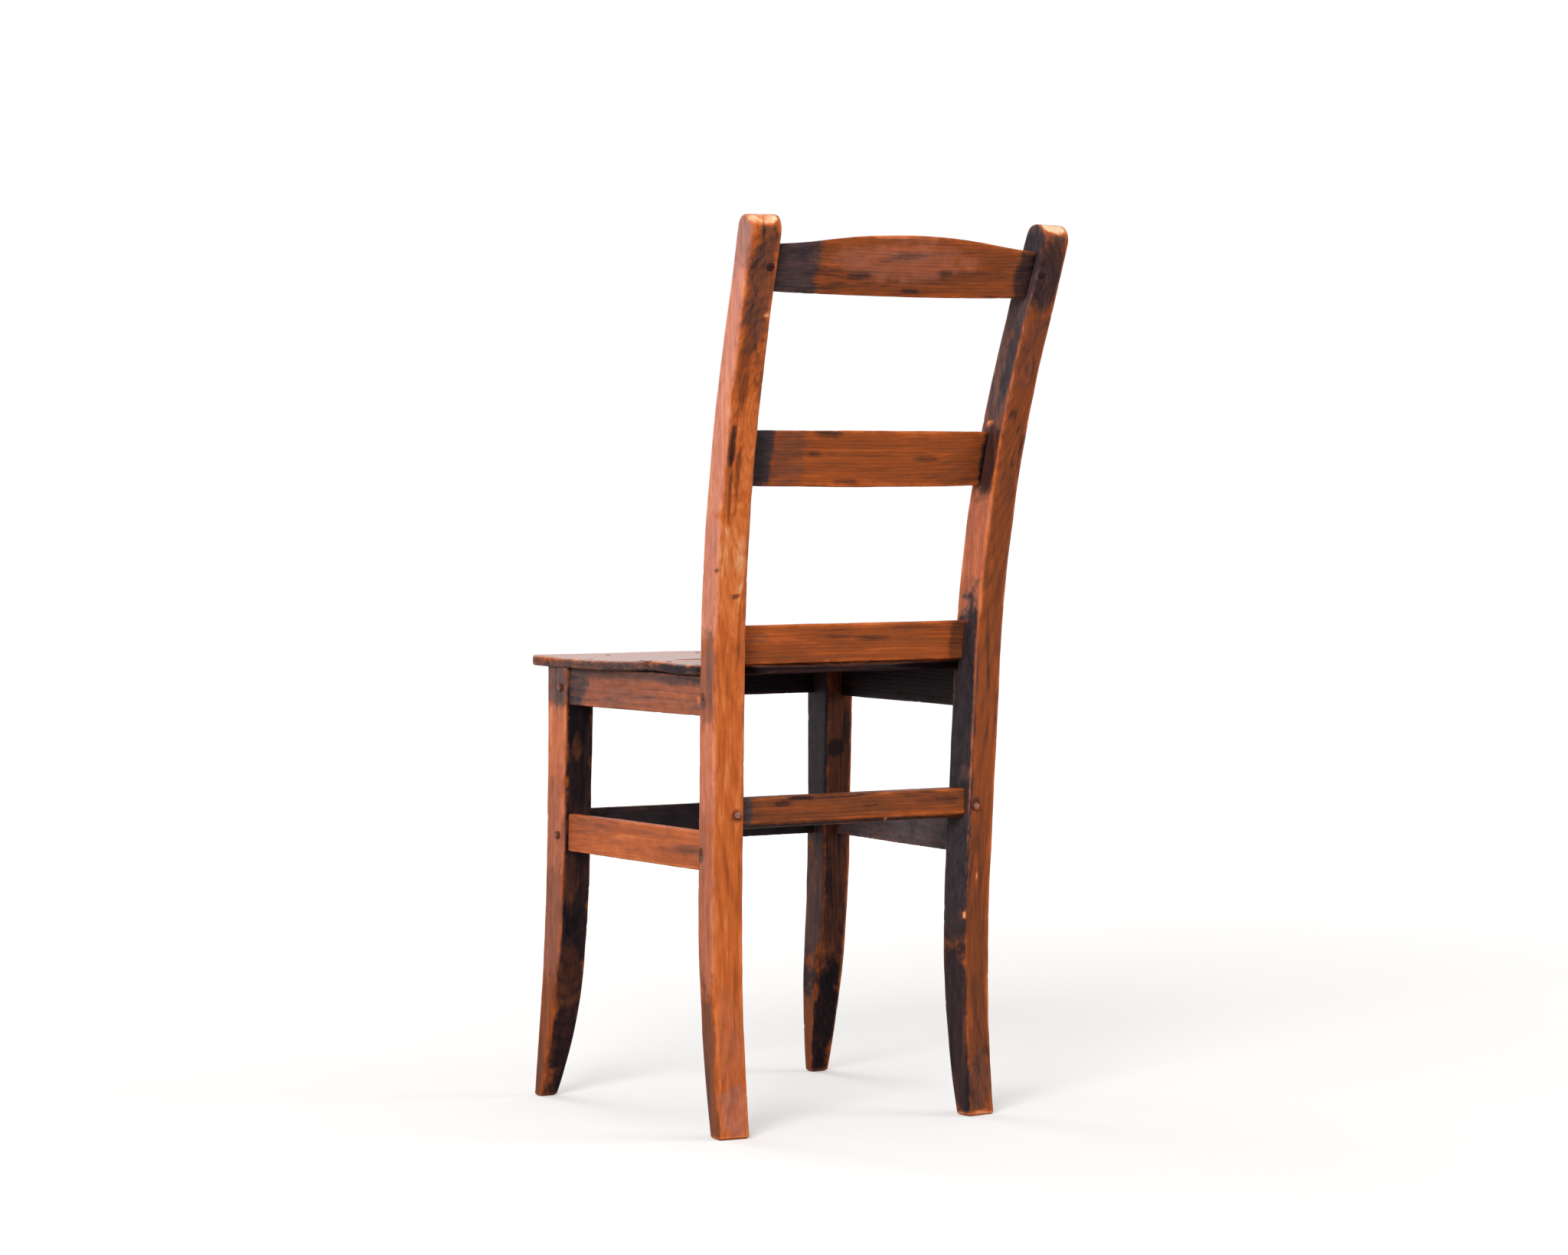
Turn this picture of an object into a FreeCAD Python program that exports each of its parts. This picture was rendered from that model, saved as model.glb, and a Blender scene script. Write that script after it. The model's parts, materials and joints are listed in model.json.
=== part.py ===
import FreeCAD, Part
import math
import os
import re

import Sketcher
from FreeCAD import Vector

# Rustic ladderback side chair: two raked back posts, two flared front legs, three back
# rails, a two-board seat on aprons, and stretchers, all joined by pegged mortises and tenons.
# Millimetres and degrees. +Z is up, the front of the chair faces -Y, and the origin lies on
# the floor under the middle of the chair.

DIMENSIONS = {
    # Back posts. Each post is drawn in its own frame, whose origin is the middle of its foot.
    "post_spread": 283.1,
    "post_set_back": 117.1,
    "post_toe": 6.3,
    "post_lean": 0.67,
    "post_width": 32.5,
    "post_depth": 34.3,
    "post_kick": 32.9,
    "post_foot_depth": 20.6,
    "post_shank_from": 235.0,
    "post_tilt": 3.35,
    "post_bend_from": 445.0,
    "post_front_bend": 1110.0,
    "post_rear_bend": 1185.0,
    "post_rake": 19.9,
    "post_taper": 0.5,
    "post_top_centre": 865.6,
    "post_edge": 2.2,
    # Front legs. The frame of a leg lies near the front face of its straight upper stretch.
    "leg_spread": 314.4,
    "leg_set_forward": 197.1,
    "leg_width": 33.0,
    "leg_lean": 0.26,
    "leg_front_kick": 34.6,
    "leg_rear_kick": 20.3,
    "leg_front_from": 300.0,
    "leg_front_lead": 4.7,
    "leg_front_tilt": 0.94,
    "leg_rear_from": 250.0,
    "leg_depth": 28.75,
    "leg_rear_tilt": 2.58,
    "leg_taper_from": 150.0,
    "leg_taper": 13.7,
    "leg_edge": 2.5,
    "foot_trim": 2.0,
    # Seat
    "seat_height": 455.0,
    "seat_thickness": 10.0,
    "seat_nose": 31.0,
    "seat_joint": 7.9,
    "seat_board_gap": 0.6,
    "seat_front_overhang": 4.85,
    "seat_rear_overhang": 1.75,
    "seat_tongue": 9.7,
    "seat_edge": 3.0,
    "seat_corner": 7.0,
    "seat_post_gap": 3.0,
    "seat_shoulder_gap": 1.5,
    # Aprons under the seat
    "front_apron_height": 36.4,
    "front_apron_thickness": 11.5,
    "side_apron_height": 39.1,
    "side_apron_thickness": 10.0,
    "front_set_back": 2.0,
    # Stretchers
    "front_stretcher_bottom": 259.3,
    "front_stretcher_height": 37.5,
    "front_stretcher_thickness": 11.0,
    "left_stretcher_bottom": 256.4,
    "right_stretcher_bottom": 259.3,
    "side_stretcher_height": 38.2,
    "side_stretcher_thickness": 10.0,
    "side_apron_front_inset": 4.25,
    "side_stretcher_front_inset": 6.75,
    "side_rail_rear_inset": 1.75,
    "back_stretcher_bottom": 297.0,
    "back_stretcher_height": 29.6,
    "back_stretcher_depth": 21.5,
    "back_stretcher_set_back": 6.0,
    "back_stretcher_chamfer": 5.0,
    # Back rails: the set-back runs from the front face of the posts to the rail's rear face.
    "crest_bottom": 810.2,
    "crest_height": 41.2,
    "crest_arch": 12.3,
    "crest_bow": 12.9,
    "crest_thickness": 15.0,
    "crest_set_back": 18.0,
    "crest_rake": 19.9,
    "slat_bottom": 627.3,
    "slat_height": 52.6,
    "slat_bow": 8.7,
    "slat_thickness": 9.0,
    "slat_set_back": 10.2,
    "slat_rake": 14.2,
    "lower_rail_height": 38.1,
    "lower_rail_thickness": 12.0,
    "lower_rail_set_back": 12.7,
    "lower_rail_rake": 6.5,
    "rail_edge": 1.5,
    # Joinery
    "tenon_length": 20.0,
    "leg_tenon_length": 18.0,
    "shoulder": 2.0,
    "slat_shoulder": 1.0,
    "tenon_margin": 5.0,
    "mortise_clearance": 0.15,
    "peg_width": 7.5,
    "peg_proud": 3.5,
    "flush_peg_proud": 0.8,
    "peg_inset": 7.2,
    "peg_clearance": 0.1,
    "apron_peg_drop": 2.0,
    "stretcher_peg_drop": 2.7,
    "right_back_peg_drop": 3.0,
    "post_peg_depth": 24.0,
    "crest_peg_depth": 22.0,
    "leg_peg_depth": 22.0,
    "side_peg_depth": 16.0,
    "front_peg_depth": 15.0,
    "nail_head_width": 5.2,
    "nail_head_depth": 1.2,
    "nail_width": 2.4,
    "nail_length": 30.0,
    "nail_clearance": 0.3,
    "nail_end_margin": 34.0,
}

SIDES = (("left", 1), ("right", -1))
# Overlong stock and cutters reach this far past the piece they shape.
REACH = 500.0
PEG_FACETS = 8
# Nails along the front apron, as shares of the way from its middle to a front leg.
FRONT_NAILS = (-0.75, 0, 0.75)

doc = FreeCAD.newDocument("ladderback_chair")
sheet = doc.addObject("Spreadsheet::Sheet", "Dims")
for row, (word, size) in enumerate(DIMENSIONS.items(), start=1):
    sheet.set(f"A{row}", str(size))
    sheet.setAlias(f"A{row}", word)
doc.recompute()

WORDS = re.compile(r"\b(" + "|".join(DIMENSIONS) + r")\b")


# Expressions

def formula(text):
    """The expression with each dimension word read from the sheet."""
    return WORDS.sub(r"Dims.\1", str(text))


def number(text):
    """The value that an expression has now."""
    value = sheet.evalExpression(formula(text))
    return float(getattr(value, "Value", value))


def bind(item, **formulas):
    for name, text in formulas.items():
        item.setExpression(name, formula(text))


def at(x, y, z, yaw=0, pitch=0, roll=0):
    return f"placement(vector({x}; {y}; {z}); rotation({yaw}; {pitch}; {roll}))"


def post_front(height):
    """Local y of a post's front face on its straight shank."""
    return f"(-post_kick + ({height} - post_shank_from) * tan(post_tilt))"


def bent(height, radius, rake):
    """How far a face moves back above the shank, along its arc and the straight above it."""
    rise = f"({height} - post_bend_from)"
    turn = f"asin(min(sin(post_tilt) + {rise} / {radius}; sin({rake})))"
    arc = f"{radius} * (cos(post_tilt) - cos({turn}))"
    straight = f"({rise} - {radius} * (sin({turn}) - sin(post_tilt))) * tan({turn})"
    return f"({arc} + {straight})"


def back_front(height):
    """Local y of a post's front face above the shank."""
    return f"({post_front('post_bend_from')} + {bent(height, 'post_front_bend', 'post_rake')})"


def back_rear(height):
    """Local y of a post's rear face above the shank."""
    rake = "(post_rake - post_taper)"
    return f"({post_front('post_bend_from')} + post_depth + {bent(height, 'post_rear_bend', rake)})"


def post_x(across, along, height):
    """World x of a point of the left post, given in the post's frame."""
    return f"(post_spread / 2 + cos(post_toe) * ({across} + {height} * sin(post_lean))" \
           f" + sin(post_toe) * {along})"


def post_y(across, along, height):
    """World y of a point of either post, given in the left post's frame."""
    return f"(post_set_back - sin(post_toe) * ({across} + {height} * sin(post_lean))" \
           f" + cos(post_toe) * {along})"


def leg_rear(height):
    """Local y of a front leg's rear face above its curved foot."""
    return f"(leg_depth + ({height} - leg_rear_from) * tan(leg_rear_tilt))"


def leg_front(height):
    """Local y of a front leg's front face above its curved foot."""
    return f"(-leg_front_lead + ({height} - leg_front_from) * tan(leg_front_tilt))"


# Sketches and solids

def body(name, placement):
    made = doc.addObject("PartDesign::Body", name)
    bind(made, Placement=placement)
    return made


def plane(owner, role):
    return next(item for item in owner.Origin.OriginFeatures if item.Role == role)


def sketch(owner, name, role):
    made = owner.newObject("Sketcher::SketchObject", name)
    made.AttachmentSupport = [(plane(owner, role), "")]
    made.MapMode = "FlatFace"
    return made


def arc_between(start, end, radius, side):
    """An arc of under a half circle from start to end, bulging to the side +1 (left) or -1."""
    chord = end - start
    half = chord.Length / 2
    left = Vector(-chord.y, chord.x, 0).normalize()
    centre = (start + end) / 2 - left * side * math.sqrt(radius ** 2 - half ** 2)
    circle = Part.Circle(centre, Vector(0, 0, 1), radius)
    turns = [math.atan2(p.y - centre.y, p.x - centre.x) for p in (start, end)]
    if side > 0:
        turns.reverse()
    return Part.ArcOfCircle(circle, turns[0], turns[1])


def outline(drawing, corners):
    """A closed outline. Each corner is (x, y) or (x, y, radius, side), where the last two say
    that the stretch to the next corner is an arc. Every corner and radius follows the sheet."""
    points = [Vector(number(c[0]), number(c[1]), 0) for c in corners]
    ends = []
    for index, corner in enumerate(corners):
        start = points[index]
        end = points[(index + 1) % len(points)]
        if len(corner) == 2:
            drawing.addGeometry(Part.LineSegment(start, end), False)
            ends.append((1, 2))
        else:
            drawing.addGeometry(arc_between(start, end, number(corner[2]), corner[3]), False)
            ends.append((2, 1) if corner[3] > 0 else (1, 2))
    for index in range(len(corners)):
        after = (index + 1) % len(corners)
        drawing.addConstraint(
            Sketcher.Constraint("Coincident", index, ends[index][1], after, ends[after][0]))
    for index, corner in enumerate(corners):
        for kind, text, now in (("DistanceX", corner[0], points[index].x),
                                ("DistanceY", corner[1], points[index].y)):
            place = drawing.addConstraint(
                Sketcher.Constraint(kind, -1, 1, index, ends[index][0], now))
            drawing.setExpression(f"Constraints[{place}]", formula(text))
        if len(corner) > 2:
            place = drawing.addConstraint(
                Sketcher.Constraint("Radius", index, number(corner[2])))
            drawing.setExpression(f"Constraints[{place}]", formula(corner[2]))


def pad(owner, drawing, name, length, how="One side", backwards=False):
    made = owner.newObject("PartDesign::Pad", name)
    made.Profile = drawing
    made.SideType = how
    made.Reversed = backwards
    bind(made, Length=length)
    drawing.Visibility = False
    doc.recompute()
    return made


def dress(owner, base, kind, name, wanted, **sizes):
    """A fillet or chamfer on the edges of base that wanted picks."""
    edges = [f"Edge{i}" for i, edge in enumerate(base.Shape.Edges, start=1) if wanted(edge)]
    made = owner.newObject(f"PartDesign::{kind}", name)
    made.Base = (base, edges)
    bind(made, **sizes)
    doc.recompute()
    return made


def climbs(edge):
    """True for an edge that isn't level."""
    first, last = edge.firstVertex().Point, edge.lastVertex().Point
    return abs(first.z - last.z) > 0.01


def runs(axis):
    """Picks the edges that run along one axis."""
    def wanted(edge):
        first, last = edge.firstVertex().Point, edge.lastVertex().Point
        return (last - first).Length - abs(getattr(last - first, axis)) < 1e-6
    return wanted


def box(name, size, placement):
    made = doc.addObject("Part::Box", name)
    bind(made, Length=size[0], Width=size[1], Height=size[2], Placement=placement)
    return made


def cut(name, base, tools):
    if len(tools) > 1:
        joined = doc.addObject("Part::MultiFuse", f"{name}_tools")
        joined.Shapes = tools
        tools = [joined]
    made = doc.addObject("Part::Cut", name)
    made.Base = base
    made.Tool = tools[0]
    return made


def fuse(name, *pieces):
    made = doc.addObject("Part::MultiFuse", name)
    made.Shapes = list(pieces)
    return made


nodes = []


def node(item, label):
    item.Label = label
    nodes.append(item)
    return item


# Frames of the posts and legs

def post_frame(side):
    return at(f"{side} * post_spread / 2", "post_set_back", 0,
              f"{-side} * post_toe", f"{side} * post_lean")


def leg_frame(side):
    return at(f"{side} * leg_spread / 2", "-leg_set_forward", 0, 0, f"{-side} * leg_lean")


def beyond_post_inner(name, side, gap="0", ahead=None):
    """A block from a back post's inner face outward, in the place of the whole post."""
    front = f"-{REACH}" if ahead is None else ahead
    across = f"-post_width / 2 - {gap}" if side > 0 else f"post_width / 2 + {gap} - {REACH}"
    return box(name, (REACH, REACH * 2, REACH * 4),
               f"{post_frame(side)} * {at(across, front, -REACH)}")


def behind_post_front(name, side):
    """A block behind the plane of a post's front face on the shank."""
    plane_frame = at(0, "-post_kick", "post_shank_from", 0, 0, "-post_tilt")
    return box(name, (REACH, REACH, REACH * 2),
               f"{post_frame(side)} * {plane_frame} * {at(-REACH / 2, 0, -REACH)}")


def beyond_leg_inner(name, side):
    """A block from a front leg's inner face outward."""
    across = "-leg_width / 2" if side > 0 else f"leg_width / 2 - {REACH}"
    return box(name, (REACH, REACH, REACH * 4),
               f"{leg_frame(side)} * {at(across, -REACH / 2, -REACH)}")


def ahead_of_leg_rear(name, side):
    """A block ahead of the plane of a front leg's rear face."""
    plane_frame = at(0, "leg_depth", "leg_rear_from", 0, 0, "-leg_rear_tilt")
    return box(name, (REACH, REACH, REACH * 2),
               f"{leg_frame(side)} * {plane_frame} * {at(-REACH / 2, -REACH, -REACH)}")


# Back posts: the side outline, then the width

def foot_radius(start_y, foot_y, height, tilt, bulge):
    """Radius of the arc that leaves the shank smoothly and ends at the foot."""
    fall = f"({height} + foot_trim)"
    out = f"({foot_y} - {start_y})"
    toward = f"({out} * cos({tilt}) + {fall} * sin({tilt})) * {bulge}"
    return f"(({out} ^ 2 + {fall} ^ 2) / (2 * {toward}))"


def post_blank(label, side):
    made = body(f"post_blank_{label}", post_frame(side))
    drawing = sketch(made, f"post_side_{label}", "YZ_Plane")
    rear_rake = "(post_rake - post_taper)"
    shank_rear = "(post_depth - post_kick)"
    bend_rear = f"({post_front('post_bend_from')} + post_depth)"

    def bend_end(start_y, radius, rake):
        return (f"{start_y} + {radius} * (cos(post_tilt) - cos({rake}))",
                f"post_bend_from + {radius} * (sin({rake}) - sin(post_tilt))")

    front_end = bend_end(post_front("post_bend_from"), "post_front_bend", "post_rake")
    rear_end = bend_end(bend_rear, "post_rear_bend", rear_rake)
    # The rounded top touches both faces: its centre is as far from one as from the other.
    front_at_top = back_front("post_top_centre")
    rear_at_top = back_rear("post_top_centre")
    round_off = f"(({rear_at_top} - {front_at_top}) / (1 / cos(post_rake) + 1 / cos({rear_rake})))"
    centre = f"({front_at_top} + {round_off} / cos(post_rake))"
    outline(drawing, [
        ("-post_foot_depth / 2", "-foot_trim",
         foot_radius("-post_kick", "-post_foot_depth / 2", "post_shank_from", "post_tilt", 1), 1),
        ("-post_kick", "post_shank_from"),
        (post_front("post_bend_from"), "post_bend_from", "post_front_bend", 1),
        front_end,
        (f"{centre} - {round_off} * cos(post_rake)",
         f"post_top_centre + {round_off} * sin(post_rake)", round_off, 1),
        (f"{centre} + {round_off} * cos({rear_rake})",
         f"post_top_centre - {round_off} * sin({rear_rake})"),
        rear_end + ("post_rear_bend", -1),
        (bend_rear, "post_bend_from"),
        (shank_rear, "post_shank_from",
         foot_radius(shank_rear, "post_foot_depth / 2", "post_shank_from", "post_tilt", 1), -1),
        ("post_foot_depth / 2", "-foot_trim"),
    ])
    padded = pad(made, drawing, f"post_width_{label}", "post_width", "Symmetric")
    dress(made, padded, "Fillet", f"post_rounding_{label}", climbs, Radius="post_edge")
    return made


# Front legs: the side outline, the width, then the foot's inner taper

def leg_blank(label, side):
    made = body(f"leg_blank_{label}", leg_frame(side))
    drawing = sketch(made, f"leg_side_{label}", "YZ_Plane")
    top = "(seat_height - seat_thickness)"
    outline(drawing, [
        ("-leg_front_kick", "-foot_trim",
         foot_radius("-leg_front_lead", "-leg_front_kick", "leg_front_from",
                     "leg_front_tilt", -1), -1),
        ("-leg_front_lead", "leg_front_from"),
        (leg_front(top), top),
        (leg_rear(top), top),
        ("leg_depth", "leg_rear_from",
         foot_radius("leg_depth", "-leg_rear_kick", "leg_rear_from", "leg_rear_tilt", -1), 1),
        ("-leg_rear_kick", "-foot_trim"),
    ])
    pad(made, drawing, f"leg_width_{label}", "leg_width", "Symmetric")
    taper = sketch(made, f"leg_taper_{label}", "XZ_Plane")
    fall = "(leg_taper_from + foot_trim)"
    radius = f"((leg_taper ^ 2 + {fall} ^ 2) / (2 * leg_taper))"
    inner = f"(-{side} * leg_width / 2)"
    outline(taper, [
        (f"{inner} + {side} * leg_taper", "-foot_trim", radius, side),
        (inner, "leg_taper_from"),
        (f"{inner} - {side} * leg_width / 2", "leg_taper_from"),
        (f"{inner} - {side} * leg_width / 2", "-foot_trim - leg_width"),
        (f"{inner} + {side} * leg_taper", "-foot_trim - leg_width"),
    ])
    pocket = made.newObject("PartDesign::Pocket", f"leg_inner_taper_{label}")
    pocket.Profile = taper
    pocket.Type = "ThroughAll"
    pocket.SideType = "Symmetric"
    doc.recompute()
    dress(made, pocket, "Fillet", f"leg_rounding_{label}", climbs, Radius="leg_edge")
    return made


# Straight rails

def cross_bar(name, placement, corners, half_length, rounding):
    """A bar along x, symmetric about the middle, from the outline of its section in y and z."""
    made = body(name, placement)
    drawing = sketch(made, f"{name}_section", "YZ_Plane")
    outline(drawing, corners)
    padded = pad(made, drawing, f"{name}_length", f"2 * ({half_length})", "Symmetric")
    if rounding:
        dress(made, padded, "Fillet", f"{name}_rounding", runs("x"), Radius=rounding)
    return made


def section(depth, height, lean="0"):
    """A section whose faces lean back, with its front lower corner at the origin."""
    back = f"{height} * tan({lean})"
    return [("0", "0"), (depth, "0"), (f"{depth} + {back}", height), (back, height)]


def inner_section(depth, height, aside, above, lean="0"):
    """The section of a tenon: inset by aside at the faces and by above at top and bottom."""
    low = f"{above} * tan({lean})"
    high = f"({height} - {above}) * tan({lean})"
    return [(f"{aside} + {low}", above), (f"{depth} - {aside} + {low}", above),
            (f"{depth} - {aside} + {high}", f"{height} - {above}"),
            (f"{aside} + {high}", f"{height} - {above}")]


def straight_rail(name, placement, depth, height, half_span, tenon, cutters, lean="0",
                  corners=None):
    """Stock, shoulders and tenons of a rail along x. Gives the rail and its mortise cutter."""
    stock = cross_bar(f"{name}_stock", placement, corners or section(depth, height, lean),
                      f"{half_span} + post_width * 2", "rail_edge")
    core = cross_bar(f"{name}_tenons", placement,
                     inner_section(depth, height, "shoulder", "tenon_margin", lean),
                     f"{half_span} + {tenon}", None)
    aside = "(shoulder - mortise_clearance)"
    above = "(tenon_margin - mortise_clearance)"
    mortise = cross_bar(f"{name}_mortises", placement,
                        inner_section(depth, height, aside, above, lean),
                        f"{half_span} + {tenon} + mortise_clearance", None)
    shoulders = cut(f"{name}_shoulders", stock, cutters)
    return fuse(f"{name}_solid", shoulders, core), mortise


# Bowed back rails

def bowed_band(name, placement, half_span, bow, thickness, half_length, height, grow="0"):
    """A band bowed to the rear, drawn in plan and raised along its rake."""
    made = body(name, placement)
    drawing = sketch(made, f"{name}_plan", "XY_Plane")
    radius = f"(({half_span} ^ 2 + {bow} ^ 2) / (2 * {bow}))"
    outer = f"({radius} + {grow})"
    inner = f"({radius} - {thickness} - {grow})"

    def along(arc):
        return f"{bow} - {radius} + sqrt({arc} ^ 2 - ({half_length}) ^ 2)"

    outline(drawing, [
        (f"-({half_length})", along(outer), outer, 1),
        (half_length, along(outer)),
        (half_length, along(inner), inner, -1),
        (f"-({half_length})", along(inner)),
    ])
    pad(made, drawing, f"{name}_height", height)
    return made


def sky(name, height, half_span, arch):
    """All that lies above the level top of a rail, which may arch up in an ogee."""
    if arch == "0":
        return box(f"{name}_sky", (REACH * 2, REACH * 2, REACH), at(-REACH, -REACH, height))
    made = body(f"{name}_sky", at(0, 0, 0))
    drawing = sketch(made, f"{name}_top", "XZ_Plane")
    ogee = f"((({half_span} / 2) ^ 2 + ({arch} / 2) ^ 2) / {arch})"
    outline(drawing, [
        (f"-{REACH}", height),
        (f"-{half_span}", height, ogee, -1),
        (f"-{half_span} / 2", f"{height} + {arch} / 2", ogee, 1),
        (f"{half_span} / 2", f"{height} + {arch} / 2", ogee, -1),
        (half_span, height),
        (REACH, height),
        (REACH, f"{height} + {REACH}"),
        (f"-{REACH}", f"{height} + {REACH}"),
    ])
    pad(made, drawing, f"{name}_above", REACH * 2, "Symmetric")
    return made


def bowed_rail(name, bottom, rise, rake, set_back, bow, thickness, aside, arch="0"):
    """A bowed rail that leans back with the posts. Gives the rail and its mortise cutter."""
    along = f"({back_front(bottom)} + {set_back})"
    half_span = post_x("-post_width / 2", along, bottom)
    frame = at(0, post_y("-post_width / 2", along, bottom), bottom, 0, 0, f"-{rake}")
    stock = bowed_band(f"{name}_stock", frame, half_span, bow, thickness,
                       f"{half_span} + post_width * 2",
                       f"({rise} + {arch} + {bow} + {thickness}) / cos({rake})")
    # The tenon lies inside the band: its own bow starts one shoulder further forward.
    core_height = f"({rise} / cos({rake}) - {thickness} * tan({rake}) - 2 * tenon_margin)"
    core = bowed_band(f"{name}_tenons", f"{frame} * {at(0, f'-{aside}', 'tenon_margin')}",
                      half_span, bow, f"({thickness} - 2 * {aside})",
                      f"{half_span} + tenon_length", core_height)
    mortise = bowed_band(f"{name}_mortises",
                         f"{frame} * {at(0, f'-{aside}', 'tenon_margin - mortise_clearance')}",
                         half_span, bow, f"({thickness} - 2 * {aside})",
                         f"{half_span} + tenon_length + mortise_clearance",
                         f"{core_height} + 2 * mortise_clearance", "mortise_clearance")
    cutters = [beyond_post_inner(f"{name}_end_{label}", side) for label, side in SIDES]
    joined = fuse(f"{name}_joined", cut(f"{name}_shoulders", stock, cutters), core)
    return cut(f"{name}_solid", joined, [sky(name, f"({bottom} + {rise})", half_span, arch)]), mortise


# Side rails, which run from a front leg to a back post

def side_line(height, front_inset):
    """World x and y of both ends of a left side rail's outer face, at one height."""
    return (f"(leg_spread / 2 + leg_width / 2 - {height} * sin(leg_lean) - {front_inset})",
            f"(-leg_set_forward + {leg_rear(height)})",
            f"({post_x('post_width / 2', post_front(height), height)} - side_rail_rear_inset)",
            post_y("post_width / 2", post_front(height), height))


def side_rail(name, side, bottom, height, thickness, front_inset):
    """A rail from a front leg to a back post. Gives the rail and its mortise cutter."""
    front_x, front_y, rear_x, rear_y = side_line(f"({bottom} + {height} / 2)", front_inset)
    yaw = f"{side} * atan(({front_x} - {rear_x}) / ({rear_y} - {front_y}))"
    length = f"sqrt(({front_x} - {rear_x}) ^ 2 + ({rear_y} - {front_y}) ^ 2)"
    frame = at(f"{side} * {front_x}", front_y, bottom, yaw)
    inward = -1 if side > 0 else 0

    stock = body(f"{name}_stock", f"{frame} * {at(f'{inward} * {thickness}', '-leg_depth * 2', 0)}")
    drawing = sketch(stock, f"{name}_section", "XZ_Plane")
    outline(drawing, [("0", "0"), (thickness, "0"), (thickness, height), ("0", height)])
    padded = pad(stock, drawing, f"{name}_length", f"{length} + leg_depth * 4", backwards=True)
    dress(stock, padded, "Fillet", f"{name}_rounding", runs("y"), Radius="rail_edge")

    def tenons(part, grow):
        aside = f"(shoulder - {grow})"
        above = f"(tenon_margin - {grow})"
        return box(f"{name}_{part}",
                   (f"{thickness} - 2 * {aside}",
                    f"{length} + leg_tenon_length + tenon_length + 2 * {grow}",
                    f"{height} - 2 * {above}"),
                   f"{frame} * " + at(f"{inward} * {thickness} + {aside}",
                                      f"-leg_tenon_length - {grow}", above))

    shoulders = cut(f"{name}_shoulders", stock,
                    [ahead_of_leg_rear(f"{name}_front_end", side),
                     behind_post_front(f"{name}_rear_end", side)])
    return fuse(f"{name}_solid", shoulders, tenons("tenons", "0")), \
        tenons("mortises", "mortise_clearance")


# Pegs, whittled to eight facets and driven through the tenons

def peg(name, placement, depth, proud):
    """A peg that starts proud of a face and goes in along its z. Gives the peg and its hole."""
    start = f"{placement} * {at(0, 0, f'-{proud}')}"
    made = []
    for part, grow in (("", "0"), ("_hole", "peg_clearance")):
        prism = doc.addObject("Part::Prism", f"{name}{part}")
        prism.Polygon = PEG_FACETS
        bind(prism, Circumradius=f"(peg_width / 2 + {grow}) / cos(180 / {PEG_FACETS})",
             Height=f"{depth} + {proud} + {grow}", Placement=start)
        made.append(prism)
    return made


def group(name, pieces):
    made = doc.addObject("Part::Compound", name)
    made.Links = pieces
    return node(made, name)


mortises = {"left_post": [], "right_post": [], "left_leg": [], "right_leg": []}
pegs = {}


def pin(kind, label, side, place, placement, depth, proud, rail_holes):
    """Drives one peg into a post or leg and through the tenon of one rail."""
    made, hole = peg(f"{kind}_{place}_{label}", placement, depth, proud)
    pegs.setdefault(kind, []).append(made)
    mortises[f"{label}_{'leg' if place == 'front' else 'post'}"].append(hole)
    rail_holes.append(hole)


# Crest rail, middle slat and lower back rail

crest_solid, crest_mortises = bowed_rail(
    "crest_rail", "crest_bottom", "crest_height", "crest_rake", "crest_set_back",
    "crest_bow", "crest_thickness", "shoulder", "crest_arch")
slat_solid, slat_mortises = bowed_rail(
    "middle_slat", "slat_bottom", "slat_height", "slat_rake", "slat_set_back",
    "slat_bow", "slat_thickness", "slat_shoulder")

lower_front = f"({back_front('seat_height')} + lower_rail_set_back - lower_rail_thickness)"
lower_solid, lower_mortises = straight_rail(
    "lower_back_rail", at(0, post_y("-post_width / 2", lower_front, "seat_height"), "seat_height"),
    "lower_rail_thickness", "lower_rail_height",
    post_x("-post_width / 2", lower_front, "seat_height"), "tenon_length",
    [beyond_post_inner(f"lower_rail_end_{label}", side) for label, side in SIDES], "lower_rail_rake")

# Back stretcher

stretcher_middle = "(back_stretcher_bottom + back_stretcher_height / 2)"
stretcher_front = f"({post_front(stretcher_middle)} + back_stretcher_set_back)"


# Its lower rear corner is cut off at a slant.
stretcher_corners = [
    ("0", "0"),
    ("back_stretcher_depth - back_stretcher_chamfer", "0"),
    ("back_stretcher_depth", "back_stretcher_chamfer"),
    ("back_stretcher_depth", "back_stretcher_height"),
    ("0", "back_stretcher_height"),
]
back_stretcher_solid, back_stretcher_mortises = straight_rail(
    "back_stretcher",
    at(0, post_y("-post_width / 2", stretcher_front, stretcher_middle), "back_stretcher_bottom"),
    "back_stretcher_depth", "back_stretcher_height",
    post_x("-post_width / 2", stretcher_front, stretcher_middle), "tenon_length",
    [beyond_post_inner(f"back_stretcher_end_{label}", side) for label, side in SIDES],
    corners=stretcher_corners)

# Front apron and front stretcher

apron_top = "(seat_height - seat_thickness)"
apron_bottom = f"({apron_top} - front_apron_height)"
leg_inner = "(leg_spread / 2 - leg_width / 2)"
apron_y = f"-leg_set_forward + {leg_front(f'({apron_top} - front_apron_height / 2)')}" \
          " + front_set_back"
front_apron_solid, front_apron_mortises = straight_rail(
    "front_apron", at(0, apron_y, apron_bottom), "front_apron_thickness", "front_apron_height",
    leg_inner, "leg_tenon_length",
    [beyond_leg_inner(f"front_apron_end_{label}", side) for label, side in SIDES])

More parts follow.
